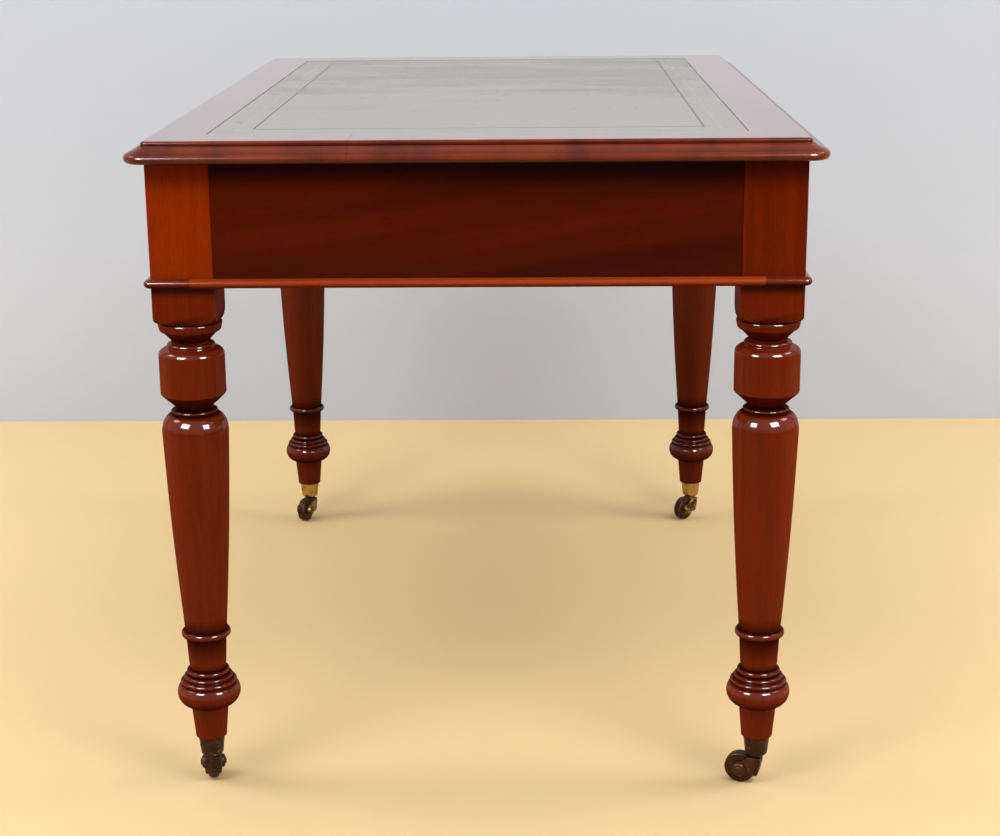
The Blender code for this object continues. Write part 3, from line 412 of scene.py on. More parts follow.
def turned(profile, steps, closed=False):
    """A form turned round Z from (radius, height) points."""
    form = bmesh.new()
    points = [(radius, 0, height) for radius, height in profile]
    verts, edges = chain(form, points)
    if closed:
        edges.append(form.edges.new((verts[-1], verts[0])))
    bmesh.ops.spin(form, geom=verts + edges, cent=(0, 0, 0), axis=(0, 0, 1), dvec=(0, 0, 0),
                   angle=2 * math.pi, steps=steps, use_merge=True)
    bmesh.ops.remove_doubles(form, verts=form.verts, dist=WELD)
    bmesh.ops.recalc_face_normals(form, faces=form.faces)
    return form


def cuboid(low, high):
    form = bmesh.new()
    low, high = Vector(low), Vector(high)
    bmesh.ops.create_cube(form, size=1, matrix=Matrix.LocRotScale((low + high) / 2, None, high - low))
    return form


def moved(form, place=(0, 0, 0), turn=0.0, axis="Z"):
    """Turn a form about an axis through the origin, then move it."""
    matrix = Matrix.Translation(place) @ Matrix.Rotation(turn, 4, axis)
    bmesh.ops.transform(form, verts=form.verts, matrix=matrix)
    return form


def level(form, axis):
    """The edges whose two ends are level along an axis, 0 for X to 2 for Z."""
    return [edge for edge in form.edges if abs(edge.verts[0].co[axis] - edge.verts[1].co[axis]) < WELD]


def eased(form, edges, reach, segments):
    """Round off some edges of a form."""
    bmesh.ops.bevel(form, geom=edges, offset=reach, segments=segments, profile=0.5, affect="EDGES",
                    material=-1)


def parted(form, place, normal, clear=False):
    """Cut a form along a plane, and clear what lies past it if asked."""
    bmesh.ops.bisect_plane(form, geom=form.verts[:] + form.edges[:] + form.faces[:], dist=WELD,
                           plane_co=place, plane_no=normal, clear_outer=clear)


def rod(radius, low, high, steps, axis="Z", edge=0.0):
    """A cylinder between two heights on its axis, its rims eased."""
    form = bmesh.new()
    bmesh.ops.create_cone(form, cap_ends=True, segments=steps, radius1=radius, radius2=radius,
                          depth=high - low)
    if edge:
        eased(form, level(form, 2), edge, 3)
    moved(form, (0, 0, (low + high) / 2))
    if axis == "Y":
        moved(form, turn=QUARTER, axis="X")
    return form


def only(kind, parts):
    return [part for part in parts if isinstance(part, kind)]


def slab(points, move):
    """A flat outline, carried along one straight move."""
    form = bmesh.new()
    face = form.faces.new([form.verts.new(point) for point in points])
    made = bmesh.ops.extrude_face_region(form, geom=[face])["geom"]
    bmesh.ops.translate(form, verts=only(bmesh.types.BMVert, made), vec=move)
    bmesh.ops.recalc_face_normals(form, faces=form.faces)
    return form


def swept(profile, moves, closed, steps=1):
    """Carry a profile along straight runs and round quarter turns, then fill its open ends."""
    form = bmesh.new()
    rim, edges = chain(form, profile)
    if closed:
        edges.append(form.edges.new((rim[-1], rim[0])))
    for kind, value in moves:
        if kind == "run":
            made = bmesh.ops.extrude_edge_only(form, edges=edges)["geom"]
            bmesh.ops.translate(form, verts=only(bmesh.types.BMVert, made), vec=value)
        else:
            made = bmesh.ops.spin(form, geom=rim + edges, cent=value, axis=(0, 0, 1), dvec=(0, 0, 0),
                                  angle=QUARTER, steps=steps, use_merge=False)["geom_last"]
        rim = only(bmesh.types.BMVert, made)
        edges = [edge for edge in only(bmesh.types.BMEdge, made) if all(end in rim for end in edge.verts)]
    bmesh.ops.remove_doubles(form, verts=form.verts, dist=WELD)
    bmesh.ops.holes_fill(form, edges=form.edges, sides=0)
    bmesh.ops.recalc_face_normals(form, faces=form.faces)
    return form


def shown_mesh(form, name):
    mesh = bpy.data.meshes.new(name)
    form.to_mesh(mesh)
    form.free()
    return mesh


def linked(name, data):
    """A new object in the scene."""
    made = bpy.data.objects.new(name, data)
    bpy.context.scene.collection.objects.link(made)
    return made


def carved(form, changes):
    """The form after others are joined to it, cut from it or crossed with it. The others are used up."""
    base = linked("base", shown_mesh(form, "base"))
    used = [base]
    for operation, other in changes:
        tool = linked("tool", shown_mesh(other, "tool"))
        change = base.modifiers.new("change", "BOOLEAN")
        change.operation = operation
        change.solver = "EXACT"
        change.object = tool
        used.append(tool)
    graph = bpy.context.evaluated_depsgraph_get()
    result = bmesh.new()
    result.from_mesh(base.evaluated_get(graph).to_mesh())
    for item in used:
        mesh = item.data
        bpy.data.objects.remove(item, do_unlink=True)
        bpy.data.meshes.remove(mesh)
    bmesh.ops.remove_doubles(result, verts=result.verts, dist=WELD)
    return result


def piece(name, form, body, material, replaced, creases=(), crease_width=0.0014, turn=0.0,
          place=(0, 0, 0)):
    """Put a finished form on the table: its place goes into its mesh, and it rides on a CAD body."""
    if creases:
        layer = form.verts.layers.float.new("crease")
        for vert in form.verts:
            near = min(abs(vert.co.z - height) for height in creases)
            vert[layer] = math.exp(-((near / crease_width) ** 2))
    mesh = shown_mesh(moved(form, place, turn), name)
    mesh.shade_smooth()
    mesh.set_sharp_from_angle(angle=SHARP_ANGLE)
    mesh.materials.append(material)
    made = linked(name, mesh)
    flat = made.modifiers.new("flat faces", "WEIGHTED_NORMAL")
    flat.keep_sharp = True
    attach(made, body)
    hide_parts(*replaced)


def dress(material, *nodes):
    """Give CAD nodes that stay a better material."""
    for node in nodes:
        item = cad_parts[node]
        if not item.data.materials:
            item.data.materials.append(None)
        for slot in item.material_slots:
            slot.link = "OBJECT"
            slot.material = material


# Top


def top_profile(sizes):
    """The edge moulding from the arris down to the underside, as (out, up) points."""
    thickness = TOP_HIGH.z - TOP_LOW.z
    step = sizes.cove_bead + sizes.ovolo_step
    ledge = step + sizes.ovolo_reach
    nose = ledge + sizes.ledge_width
    shelf = thickness - 2 * sizes.nose_radius
    points = arc((0, -0.6 * sizes.cove_bead), (sizes.cove_bead, 0.6 * sizes.cove_bead), 90, 0, 8)
    points.append((sizes.cove_bead, -sizes.cove_bead - sizes.cove_quirk))
    foot = -sizes.cove_bead - sizes.cove_quirk - sizes.ovolo_drop
    points += arc((step, foot), (sizes.ovolo_reach, sizes.ovolo_drop - 0.0002), 90, 20, 6)
    lean = math.degrees(math.atan2(shelf + foot, nose - ledge))
    points += arc((nose, -shelf - sizes.nose_radius), (sizes.nose_radius,) * 2, 90 - lean, -90, 14)
    return points


def top_form(sizes):
    reach = sizes.cove_bead + sizes.ovolo_step + sizes.ovolo_reach + sizes.ledge_width + sizes.nose_radius
    arris_x = TOP_HIGH.x - reach
    run_x = arris_x - sizes.arris_radius
    run_y = TOP_HIGH.y - reach - sizes.arris_radius
    profile = [(arris_x + out, -run_y, TOP_HIGH.z + up) for out, up in top_profile(sizes)]
    moves = []
    for turn, run in (((run_x, run_y, 0), (0, 2 * run_y, 0)), ((-run_x, run_y, 0), (-2 * run_x, 0, 0)),
                      ((-run_x, -run_y, 0), (0, -2 * run_y, 0)), ((run_x, -run_y, 0), (2 * run_x, 0, 0))):
        moves += [("run", run), ("turn", turn)]
    return swept(profile, moves, False, 12)


class TABLE_OT_top(bpy.types.Operator):
    """Build the two boards of the moulded top"""
    bl_idname = "writing_table.top"
    bl_label = "Top boards"

    def execute(self, context):
        sizes = context.scene.table_top
        tones = context.scene.table_finish
        # The nosing's underside takes strong painted shade
        wood = mahogany("polished_top", "Y", toned(tones.light_wood, 1.1, 1.4, 8), tones.dark_wood,
                        gloss=0.09, slope=0.05, shift=0.4, figure=0.5, rim=1.0, under=0.25,
                        underside=(-0.55, 0.08, 0.72), full=(0.925, 0.98))
        low = LEATHER_LOW - Vector((GAP, GAP, GAP))
        high = (LEATHER_HIGH.x + GAP, LEATHER_HIGH.y + GAP, TOP_HIGH.z + OVERRUN)
        quirk = TOP_HIGH.z - sizes.cove_bead - sizes.cove_quirk
        ledge = TOP_LOW.z + 2 * sizes.nose_radius
        for side, sign in SIDES.items():
            form = top_form(sizes)
            parted(form, (TOP_JOINT + sign * GAP / 2, 0, 0), (-sign, 0, 0), True)
            bmesh.ops.holes_fill(form, edges=form.edges, sides=0)
            form = carved(form, [("DIFFERENCE", cuboid(low, high))])
            piece("top_board_moulded_" + side, form, "table", wood,
                  ["top_board_" + side], (quirk, ledge), 0.0007)
        return {"FINISHED"}


class TABLE_OT_leather(bpy.types.Operator):
    """Lay the leather panel, with its tooled line pressed in"""
    bl_idname = "writing_table.leather"
    bl_label = "Leather panel"

    def execute(self, context):
        line = context.scene.table_top.leather_line
        form = cuboid(LEATHER_LOW, LEATHER_HIGH)
        top = [face for face in form.faces if face.normal.z > 0.5]
        rounding, press, depth = 0.0004, 0.0005, 0.0003
        insets = ((rounding, 0.0002), (rounding, 0.0001), (line - 2 * rounding - press, 0), (press, -depth),
                  (press, depth))
        bmesh.ops.translate(form, verts=top[0].verts, vec=(0, 0, -depth))
        for width, rise in insets:
            bmesh.ops.inset_region(form, faces=top, thickness=width, depth=rise, use_even_offset=True)
        hide = writing_leather("green_leather_worn", context.scene.table_finish, line)
        piece("writing_leather_tooled", form, "table", hide, ["writing_leather"])
        return {"FINISHED"}


# Legs

# Heights of the turning: the upper ones down from the frieze, the others up from the floor
LEG_TOP = {"shoulder": 0.031, "shoulder_base": 0.044, "bowl": 0.0448, "bowl_corner": 0.0546,
           "bowl_base": 0.0581, "neck": 0.0665, "ring": 0.0697, "drum_base": 0.1282, "low_neck": 0.144,
           "low_ring": 0.1453, "taper": 0.1508}
SWELL_DROP = 0.0209
TAPER_BASE = 0.1953
COLLAR_HEIGHT = 0.0088
KNOP_TOP = 0.1470
KNOP_GROOVES = (0.1403, 0.1349, 0.1286)
BULB_MIDDLE = 0.118
BULB_BASE = 0.1015
ANKLE_BASE = 0.0613

# Radii of the turning
SHOULDER_RADIUS = 0.049
SHOULDER_BASE_RADIUS = 0.0365
BOWL_RADIUS = 0.0328
NECK_RADIUS = 0.0216
DRUM_RADIUS = 0.0366
LOW_NECK_RADIUS = 0.0192
TAPER_RADIUS = 0.0249
SWELL_RADIUS = 0.0373
TAPER_BASE_RADIUS = 0.0239
TAPER_BELLY = 0.0014
SPIGOT_RADIUS = 0.0115
SPIGOT_LENGTH = 0.012
TAPER_STEPS = 14


def leg_heights():
    return {name: FRIEZE_BOTTOM - drop for name, drop in LEG_TOP.items()}


def half_round(top, height, crease, reach, steps=10):
    return arc((crease, top - height / 2), (reach - crease, height / 2), 90, -90, steps)


def leg_profile():
    """The turning from inside the block down to the ankle, as (radius, height) points."""
    at = leg_heights()
    drum = at["drum_base"]
    points = [(0, at["shoulder"]), (BOWL_RADIUS, at["shoulder"]), (BOWL_RADIUS, at["bowl"])]
    points += arc((BOWL_RADIUS, at["bowl"] - 0.003), (0.003, 0.003), 75, 0, 5)
    points += [(0.0342, at["bowl_corner"]), (0.0332, at["bowl_corner"] - 0.0012), (0.0294, at["bowl_base"])]
    points += [(0.0226, at["neck"] + 0.0012), (NECK_RADIUS, at["neck"]), (NECK_RADIUS, at["ring"] + 0.0004)]
    points += arc((0.0226, at["ring"] - 0.0026), (0.0041, 0.0030), 88, -35, 9)
    points += [(0.0262, at["ring"] - 0.0052)]
    points += arc((0.0272, at["ring"] - 0.0136), (0.0094, 0.0078), 84, 0, 12)
    points += [(DRUM_RADIUS, drum + 0.0012), (0.0362, drum + 0.0002), (0.0353, drum - 0.0009)]
    points += [(0.0204, at["low_neck"] + 0.0012), (LOW_NECK_RADIUS, at["low_neck"])]
    points += [(LOW_NECK_RADIUS, at["low_ring"] + 0.0002)]
    points += arc((0.0212, at["low_ring"] - 0.0024), (0.0048, 0.0026), 85, -35, 9)
    points += [(TAPER_RADIUS, at["taper"] + 0.0007)]
    swell_top = at["taper"] - SWELL_DROP
    points += arc((TAPER_RADIUS, swell_top), (SWELL_RADIUS - TAPER_RADIUS, SWELL_DROP), 90, 0, 12)
    for step in range(1, TAPER_STEPS + 1):
        down = step / TAPER_STEPS
        radius = SWELL_RADIUS + (TAPER_BASE_RADIUS - SWELL_RADIUS) * down
        radius += TAPER_BELLY * math.sin(math.pi * down)
        points.append((radius, swell_top + (TAPER_BASE - swell_top) * down))
    points += half_round(TAPER_BASE, COLLAR_HEIGHT, 0.0245, 0.02835, 12)
    points += [(0.0231, TAPER_BASE - COLLAR_HEIGHT), (0.0215, KNOP_TOP + 0.008), (0.0207, KNOP_TOP)]
    points += half_round(KNOP_TOP, KNOP_TOP - KNOP_GROOVES[0], 0.0216, 0.0248)
    points.append((0.0228, KNOP_GROOVES[0] - 0.0001))
    points += arc((0.0236, KNOP_GROOVES[0] - 0.0031), (0.0047, 0.0028), 80, -30, 9)
    points.append((0.0279, KNOP_GROOVES[1]))
    points += arc((0.0266, KNOP_GROOVES[1] - 0.0035), (0.0059, 0.0033), 75, -25, 9)
    points.append((0.0317, KNOP_GROOVES[2]))
    points += arc((0.0310, BULB_MIDDLE), (0.0055, 0.0100), 80, 0, 9)
    points += arc((0.0214, BULB_MIDDLE), (0.0151, 0.0165), -10, -90, 9)
    points += [(0.0213, BULB_BASE - 0.003), (0.0182, ANKLE_BASE + 0.0035)]
    points += arc((0.0167, ANKLE_BASE + 0.0015), (0.0015, 0.0015), 0, -80, 4)
    tip = ANKLE_BASE - SPIGOT_LENGTH
    return points + [(SPIGOT_RADIUS, ANKLE_BASE), (SPIGOT_RADIUS, tip), (0, tip)]


def leg_form(sizes):
    """A square block whose lower corners are turned away, joined to the turning."""
    at = leg_heights()
    half = BLOCK / 2
    block = cuboid((-half, -half, at["shoulder_base"]), (half, half, FRAME_TOP))
    lying = level(block, 2)
    eased(block, [edge for edge in block.edges if edge not in lying], sizes.block_edge, 4)
    top = FRAME_TOP + OVERRUN
    foot = at["shoulder_base"] - OVERRUN
    crown = [(0, top), (2 * SHOULDER_RADIUS, top), (2 * SHOULDER_RADIUS, at["shoulder"])]
    reach = (SHOULDER_RADIUS - SHOULDER_BASE_RADIUS, at["shoulder"] - at["shoulder_base"])
    crown += arc((SHOULDER_BASE_RADIUS, at["shoulder"]), reach, 0, -90, 12)[:-1]
    crown += [(SHOULDER_BASE_RADIUS, foot), (0, foot)]
    block = carved(block, [("INTERSECT", turned(crown, sizes.steps))])
    form = carved(turned(leg_profile(), sizes.steps), [("UNION", block)])
    # These cuts keep the dark of the creases from spreading over the block's long faces
    for height in (at["shoulder"] + 0.0004, at["shoulder"] + 0.012, FRAME_TOP - 0.04):
        parted(form, (0, 0, height), (0, 0, 1))
    return form


class TABLE_OT_legs(bpy.types.Operator):
    """Turn the four legs"""
    bl_idname = "writing_table.legs"
    bl_label = "Turned legs"

    def execute(self, context):
        sizes = context.scene.table_leg
        tones = context.scene.table_finish
        at = leg_heights()
        creases = [at[name] for name in ("shoulder_base", "bowl", "neck", "low_neck", "low_ring", "taper")]
        creases += [TAPER_BASE, TAPER_BASE - COLLAR_HEIGHT, KNOP_TOP, BULB_BASE, *KNOP_GROOVES]
        light, dark = tones.light_wood, tones.dark_wood
        wood = mahogany("turned_mahogany_polished", "Z", light, dark, figure=0.12, shade=0.5)
        # The near left block gets a painted sheen above the bead, and less painted shadow below the top
        sheen_block_wood = mahogany("turned_mahogany_sheen_block", "Z", light, dark, figure=0.12, shift=0.23, pale=0.8,
                             shade=0.3)
        # The far legs take darker copies of the leg tones: painted shade, where the lamps reach less
        shaded_far_wood = mahogany("turned_mahogany_shaded_far", "Z", toned(light, 0.64), toned(dark, 0.55), figure=0.12,
                            shift=0.41)
        woods = {"near_left": sheen_block_wood, "near_right": wood, "far_left": shaded_far_wood, "far_right": shaded_far_wood}
        pattern = leg_form(sizes)
        for corner, (across, along) in CORNERS.items():
            piece("leg_turned_" + corner, pattern.copy(), "table", woods[corner],
                  ["leg_" + corner], creases, place=(across * LEG_X, along * LEG_Y, 0))
        pattern.free()
        return {"FINISHED"}


# Bead

BEAD_DROP = 0.0024
BEAD_HEIGHT = 0.0104
BEAD_REACH = 0.0073
CORNER_TURNS = {"far_right": 0, "far_left": 1, "near_left": 2, "near_right": 3}


class TABLE_OT_bead(bpy.types.Operator):
    """Run the bead round the foot of the frieze, in straight lengths and corner pieces"""
    bl_idname = "writing_table.bead"
    bl_label = "Frieze bead"

    def execute(self, context):
        tones = context.scene.table_finish
        near_low, near_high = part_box("bead_near")
        middle = near_low.z - BEAD_DROP + BEAD_HEIGHT / 2
        section = arc((GAP, middle), (BEAD_REACH - GAP, BEAD_HEIGHT / 2), 90, -90, 14)
        strips = {"near": (-QUARTER, HALF_LENGTH, "X"), "far": (QUARTER, HALF_LENGTH, "X"),
                  "back": (math.pi, HALF_WIDTH, "Y"), "front": (0, HALF_WIDTH, "Y")}
        # The bead's tones are lighter than the legs': partly a paler wood, partly a painted highlight along
        # its round
        light = toned(tones.light_wood, 1.95, 2.6, 8)
        dark = toned(tones.light_wood, 1.4, 1.7, 4)
        woods = {axis: mahogany("bead_strip_" + axis, axis, light, dark, gloss=0.12, shift=0.9, figure=0.4)
                 for axis in "XY"}
        for name, (turn, face, axis) in strips.items():
            low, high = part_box("bead_" + name)
            half = (high.x - low.x) / 2 if axis == "X" else (high.y - low.y) / 2
            profile = [(face + out, -half, height) for out, height in section]
            form = swept(profile, [("run", (0, 2 * half, 0))], True)
            piece("bead_run_" + name, form, "table", woods[axis], ["bead_" + name],
                  turn=turn)
        arm = HALF_WIDTH - (near_high.x + GAP)
        profile = [(out, -arm, height) for out, height in section]
        moves = [("run", (0, arm, 0)), ("turn", (0, 0, 0)), ("run", (-arm, 0, 0))]
        wood = mahogany("bead_corner_polished", "X", tones.light_wood, tones.dark_wood, slope=0.2, shift=0.2,
                        figure=0.3, rim=0.8, full=(-0.15, 0.1))
        for corner, (across, along) in CORNERS.items():
            piece("bead_turn_" + corner, swept(profile, moves, True, 10), "table", wood,
                  ["bead_corner_" + corner], turn=CORNER_TURNS[corner] * QUARTER,
                  place=(across * HALF_WIDTH, along * HALF_LENGTH, 0))
        return {"FINISHED"}


# Frame and drawers


class TABLE_OT_frame(bpy.types.Operator):
    """Finish the rails, and the runners, guides, kicker and stops inside"""
    bl_idname = "writing_table.frame"
    bl_label = "Rails and runners"

    def execute(self, context):
        tones = context.scene.table_finish
        rails = tones.light_rail, tones.dark_rail
        woods = tones.light_wood, tones.dark_wood
        dress(mahogany("rail_mahogany_ends", "X", *rails, gloss=0.12, slope=-0.14, shift=0.6),
              "rail_near_end", "rail_far_end")
        dress(mahogany("rail_mahogany_back", "Y", *rails, gloss=0.12, slope=0.05, shift=0.1), "rail_back")
        dress(mahogany("rail_mahogany_front", "Y", *woods, shift=0.2, figure=0.5),
              "rail_front_top", "rail_front_bottom")
        dress(mahogany("muntin_mahogany", "Z", *woods, shift=0.5, figure=0.5), "muntin_front")
        dress(plain_wood("runner_pine", "X", tones.pine), "runner_near", "runner_centre", "runner_far",
              "guide_near", "guide_centre", "guide_far", "kicker_centre")
        dress(plain_wood("stop_oak", "Y", tones.oak), "drawer_stop_near", "drawer_stop_far")
        return {"FINISHED"}


KNOB_RADIUS = 0.0165
KNOB_RIM = 0.0157
KNOB_DOME = 0.0048
KNOB_NECK = 0.0078
SHANK_RADIUS = 0.006
SHANK_LENGTH = 0.012


def knob_form():
    """A turned knob along X: a shank, a neck with a collar, and a domed face."""
    profile = [(0, KNOB_RIM + KNOB_DOME)] + arc((0, KNOB_RIM), (KNOB_RADIUS, KNOB_DOME), 80, 0, 12)
    profile += arc((0.008, KNOB_RIM), (0.0085, 0.0097), -15, -90, 9)
    profile += [(KNOB_NECK, 0.0045)] + arc((KNOB_NECK, 0.0022), (0.0012, 0.0018), 80, -90, 5)
    profile += [(SHANK_RADIUS, GAP), (SHANK_RADIUS, -SHANK_LENGTH), (0, -SHANK_LENGTH)]
    return moved(turned(profile, 48), turn=QUARTER, axis="Y")


class TABLE_OT_drawers(bpy.types.Operator):
    """Finish the drawers, and turn their knobs"""
    bl_idname = "writing_table.drawers"
    bl_label = "Drawers"

    def execute(self, context):
        tones = context.scene.table_finish
        woods = tones.light_wood, tones.dark_wood
        front = mahogany("drawer_mahogany", "Y", *woods, slope=0.04, shift=0.7)
        knob_wood = mahogany("knob_mahogany", "X", *woods, gloss=0.07, shift=0.3, figure=0.5)
        lining = plain_wood("drawer_oak_sides", "X", tones.oak)
        across = plain_wood("drawer_oak_bottoms", "Y", tones.oak)
        pattern = knob_form()
        for number in (1, 2):
            prefix = "drawer_" + str(number)
            dress(front, prefix + "_front")
            dress(lining, prefix + "_side_near", prefix + "_side_far")
            dress(across, prefix + "_back", prefix + "_bottom")
            for end in ENDS:
                node = prefix + "_knob_" + end
                low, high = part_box(node)
                spot = (HALF_WIDTH, (low.y + high.y) / 2, (low.z + high.z) / 2)
                piece(prefix + "_turned_knob_" + end, pattern.copy(), prefix, knob_wood,
                      [node], place=spot)
        pattern.free()
        return {"FINISHED"}


# Castors

PATINA = {"near": 0.95, "far": 0.36}
TRAIL_ANGLES = {"near_left": 98.6, "near_right": 162.5, "far_left": 250.1, "far_right": 227.8}
TRAIL = 0.018
WHEEL_RADIUS = 0.0185
WHEEL_THICKNESS = 0.013
WHEEL_ROOM = 0.0007
AXLE_BORE = 0.0033
SOCKET_RADIUS = 0.0152
SOCKET_BASE_RADIUS = 0.0132
SOCKET_BASE = 0.0372
SOCKET_FLOOR = 0.0452
SOCKET_BORE = 0.0118
PIN_BORE = 0.0043
PIN_RADIUS = 0.004
PIN_TOP = 0.0446
SCREW_ANGLES = (40, 220)
SCREW_PLACE = (0.0143, 0, 0.0520)
BOSS_RADIUS = 0.0082
BOSS_WIDTH = 0.0274
CHEEK_RADIUS = 0.0086
HORN_BASE = 0.0112
HORN_WIDTH = 0.0196

# The front edge of the fork, from its head down, as shares of its reach and of its drop
HORN_REACH = 0.0068
HORN_EDGE = ((0.86, 0), (0.97, 0.03), (1, 0.10), (1, 0.34), (0.96, 0.40), (0.86, 0.45), (0.78, 0.60),
             (0.68, 0.78), (0.56, 0.92), (0.40, 0.98), (0.20, 1), (-0.35, 1))


def screw_form():
    """A small domed screw head with a slot, along Z."""
    dome = [(0, 0.0012)] + arc((0, 0.0003), (0.0016, 0.0009), 75, 0, 4) + [(0.0016, -0.001), (0, -0.001)]
    slot = cuboid((-0.0003, -0.002, 0.0007), (0.0003, 0.002, 0.002))
    return carved(turned(dome, 16), [("DIFFERENCE", slot)])


def socket_form():
    """A tapered brass cup with a rolled rim and a rounded foot, bored for the swivel, with two screws."""
    rim_top = ANKLE_BASE - GAP
    profile = [(SOCKET_RADIUS, rim_top)] + arc((0.0150, rim_top - 0.0008), (0.0006, 0.0008), 80, -60, 6)
    profile += [(SOCKET_RADIUS, rim_top - 0.0019), (SOCKET_BASE_RADIUS, SOCKET_BASE + 0.0048)]
    profile += arc((0.0095, SOCKET_BASE + 0.0042), (0.0036, 0.0042), 0, -85, 8)
    profile += [(PIN_BORE, SOCKET_BASE), (PIN_BORE, SOCKET_FLOOR), (SOCKET_BORE, SOCKET_FLOOR)]
    profile += [(SOCKET_BORE, rim_top)]
    form = turned(profile, 48, True)
    for angle in SCREW_ANGLES:
        screw = moved(moved(screw_form(), turn=QUARTER, axis="Y"), SCREW_PLACE)
        form = carved(form, [("UNION", moved(screw, turn=math.radians(angle)))])
    return form


def horn_side(side):
    """What the front of the fork loses on one side, where it narrows downwards in a curve."""
    outline = arc((0.0040, 0.0185), (0.0059, 0.0108), 0, -70, 8)
    outline += [(outline[-1][0], 0.004), (0.014, 0.004), (0.014, 0.0185)]
    return slab([(-0.0092, side * y, z) for y, z in outline], (0.02, 0, 0))


def fork_form():
    """Two cheeks with bosses for the axle, joined in front of the wheel under a neck and its pin."""
    neck_top = SOCKET_BASE - GAP
    top = neck_top - 0.003
    outline = [(-0.0078, top)]
    outline += [(HORN_REACH * reach, top - (top - HORN_BASE) * down) for reach, down in HORN_EDGE]
    outline += arc((-TRAIL, WHEEL_RADIUS), (CHEEK_RADIUS, CHEEK_RADIUS), -80, -280, 14)
    form = slab([(x, -HORN_WIDTH / 2, z) for x, z in outline], (0, HORN_WIDTH, 0))
    eased(form, level(form, 1), 0.0009, 3)
    room = WHEEL_THICKNESS / 2 + WHEEL_ROOM
    hub = (-TRAIL, 0, WHEEL_RADIUS)
    boss = moved(rod(BOSS_RADIUS, -BOSS_WIDTH / 2, BOSS_WIDTH / 2, 40, "Y", 0.0030), hub)
    well = moved(rod(WHEEL_RADIUS + 0.001, -room, room, 48, "Y"), hub)
    hole = moved(rod(AXLE_BORE, -BOSS_WIDTH, BOSS_WIDTH, 24, "Y"), hub)
    neck = [(0, neck_top), (0.0074, neck_top)]
    neck += arc((0.0070, neck_top - 0.0008), (0.0008, 0.0008), 60, -60, 4)
    neck += [(0.0072, neck_top - 0.002), (0.0078, neck_top - 0.006), (0, neck_top - 0.006)]
    pin = rod(PIN_RADIUS, neck_top - 0.003, PIN_TOP, 24)
    changes = [("DIFFERENCE", horn_side(side)) for side in SIDES.values()]
    changes += [("UNION", boss), ("UNION", turned(neck, 32)), ("UNION", pin)]
    return carved(form, changes + [("DIFFERENCE", well), ("DIFFERENCE", hole)])


def mirrored(side):
    """A profile and its mirror image below."""
    return side + [(radius, -height) for radius, height in reversed(side)]


def wheel_form():
    """A solid brass wheel with a flat face and a rounded tread."""
    half = WHEEL_THICKNESS / 2
    side = [(AXLE_BORE, half), (0.0100, half), (0.0136, half - 0.0003)]
    side += arc((WHEEL_RADIUS - 0.0024, half - 0.0022), (0.0022, 0.0022), 90, 10, 6)
    tread = mirrored(side)
    tread.insert(len(side), (WHEEL_RADIUS, 0))
    return moved(turned(tread, 56, True), turn=QUARTER, axis="X")


def axle_form():
    """A pin with a riveted dome at each end."""
    face = BOSS_WIDTH / 2 + GAP
    half = [(0, face + 0.0014)] + arc((0, face), (0.0045, 0.0014), 78, 0, 6) + [(0.003, face)]
    return moved(turned(mirrored(half), 32), turn=QUARTER, axis="X")


class TABLE_OT_castors(bpy.types.Operator):
    """Cast the four castors: a socket, a fork, a wheel and an axle each"""
    bl_idname = "writing_table.castors"
    bl_label = "Castors"

    def execute(self, context):
        tones = context.scene.table_finish
        patterns = {"socket": socket_form(), "fork": fork_form(), "wheel": wheel_form(), "axle": axle_form()}
        for end, share in PATINA.items():
            socket_metal = aged_brass("socket_brass_" + end, tones, share)
            fork_metal = aged_brass("fork_brass_" + end, tones, 0.5 + share / 2)
            wheel_metal = aged_brass("wheel_brass_" + end, tones, 1.0, 0.18)
            for side in SIDES:
                corner = end + "_" + side
                across, along = CORNERS[corner]
                foot = Vector((across * LEG_X, along * LEG_Y, 0))
                trail = math.radians(TRAIL_ANGLES[corner])
                hub = foot + Vector((TRAIL * math.cos(trail), TRAIL * math.sin(trail), WHEEL_RADIUS))
                turn = trail + math.pi
                plans = (("socket", "table", "aged_brass", socket_metal, foot, 0),
                         ("fork", "castor_" + corner, "aged_brass", fork_metal, foot, turn),
                         ("wheel", "wheel_" + corner, "wheel_brass", wheel_metal, hub, turn),
                         ("axle", "castor_" + corner, "aged_brass", fork_metal, hub, turn))
                for kind, body, slot, metal, place, turned_by in plans:
                    piece("castor_cast_" + kind + "_" + corner, patterns[kind].copy(), body, metal,
                          ["castor_" + kind + "_" + corner], turn=turned_by, place=place)
        for form in patterns.values():
            form.free()
        return {"FINISHED"}


# Stage

FLOOR_SIDE = 28
WALL_SIDE = 8
WALL_HEIGHT = 3
LENS = 68.607
CAMERA_PLACE = (0.06724, -2.55895, 1.01178)
CAMERA_TURN = 0.02149
CAMERA_TILT = 0.268
CAMERA_ROLL = -0.00896


def sheet(name, corner, across, up, material):
    """One flat stage face, with two of its sides from one corner."""
    form = bmesh.new()
    low, across, up = Vector(corner), Vector(across), Vector(up)
    form.faces.new([form.verts.new(spot) for spot in (low, low + across, low + across + up, low + up)])
    mesh = shown_mesh(form, name)
    mesh.materials.append(material)
    linked(name, mesh)


def lamp(name, place, target, size, power, diffuse=True, glossy=True):
    data = bpy.data.lights.new(name, "AREA")
    data.shape = "RECTANGLE"
    data.size, data.size_y = size
    data.energy = power
    made = linked(name, data)
    aim = (Vector(target) - Vector(place)).to_track_quat("-Z", "Y")
    made.matrix_world = Matrix.Translation(place) @ aim.to_matrix().to_4x4()
    made.visible_camera = False
    made.visible_diffuse = diffuse
    made.visible_glossy = glossy


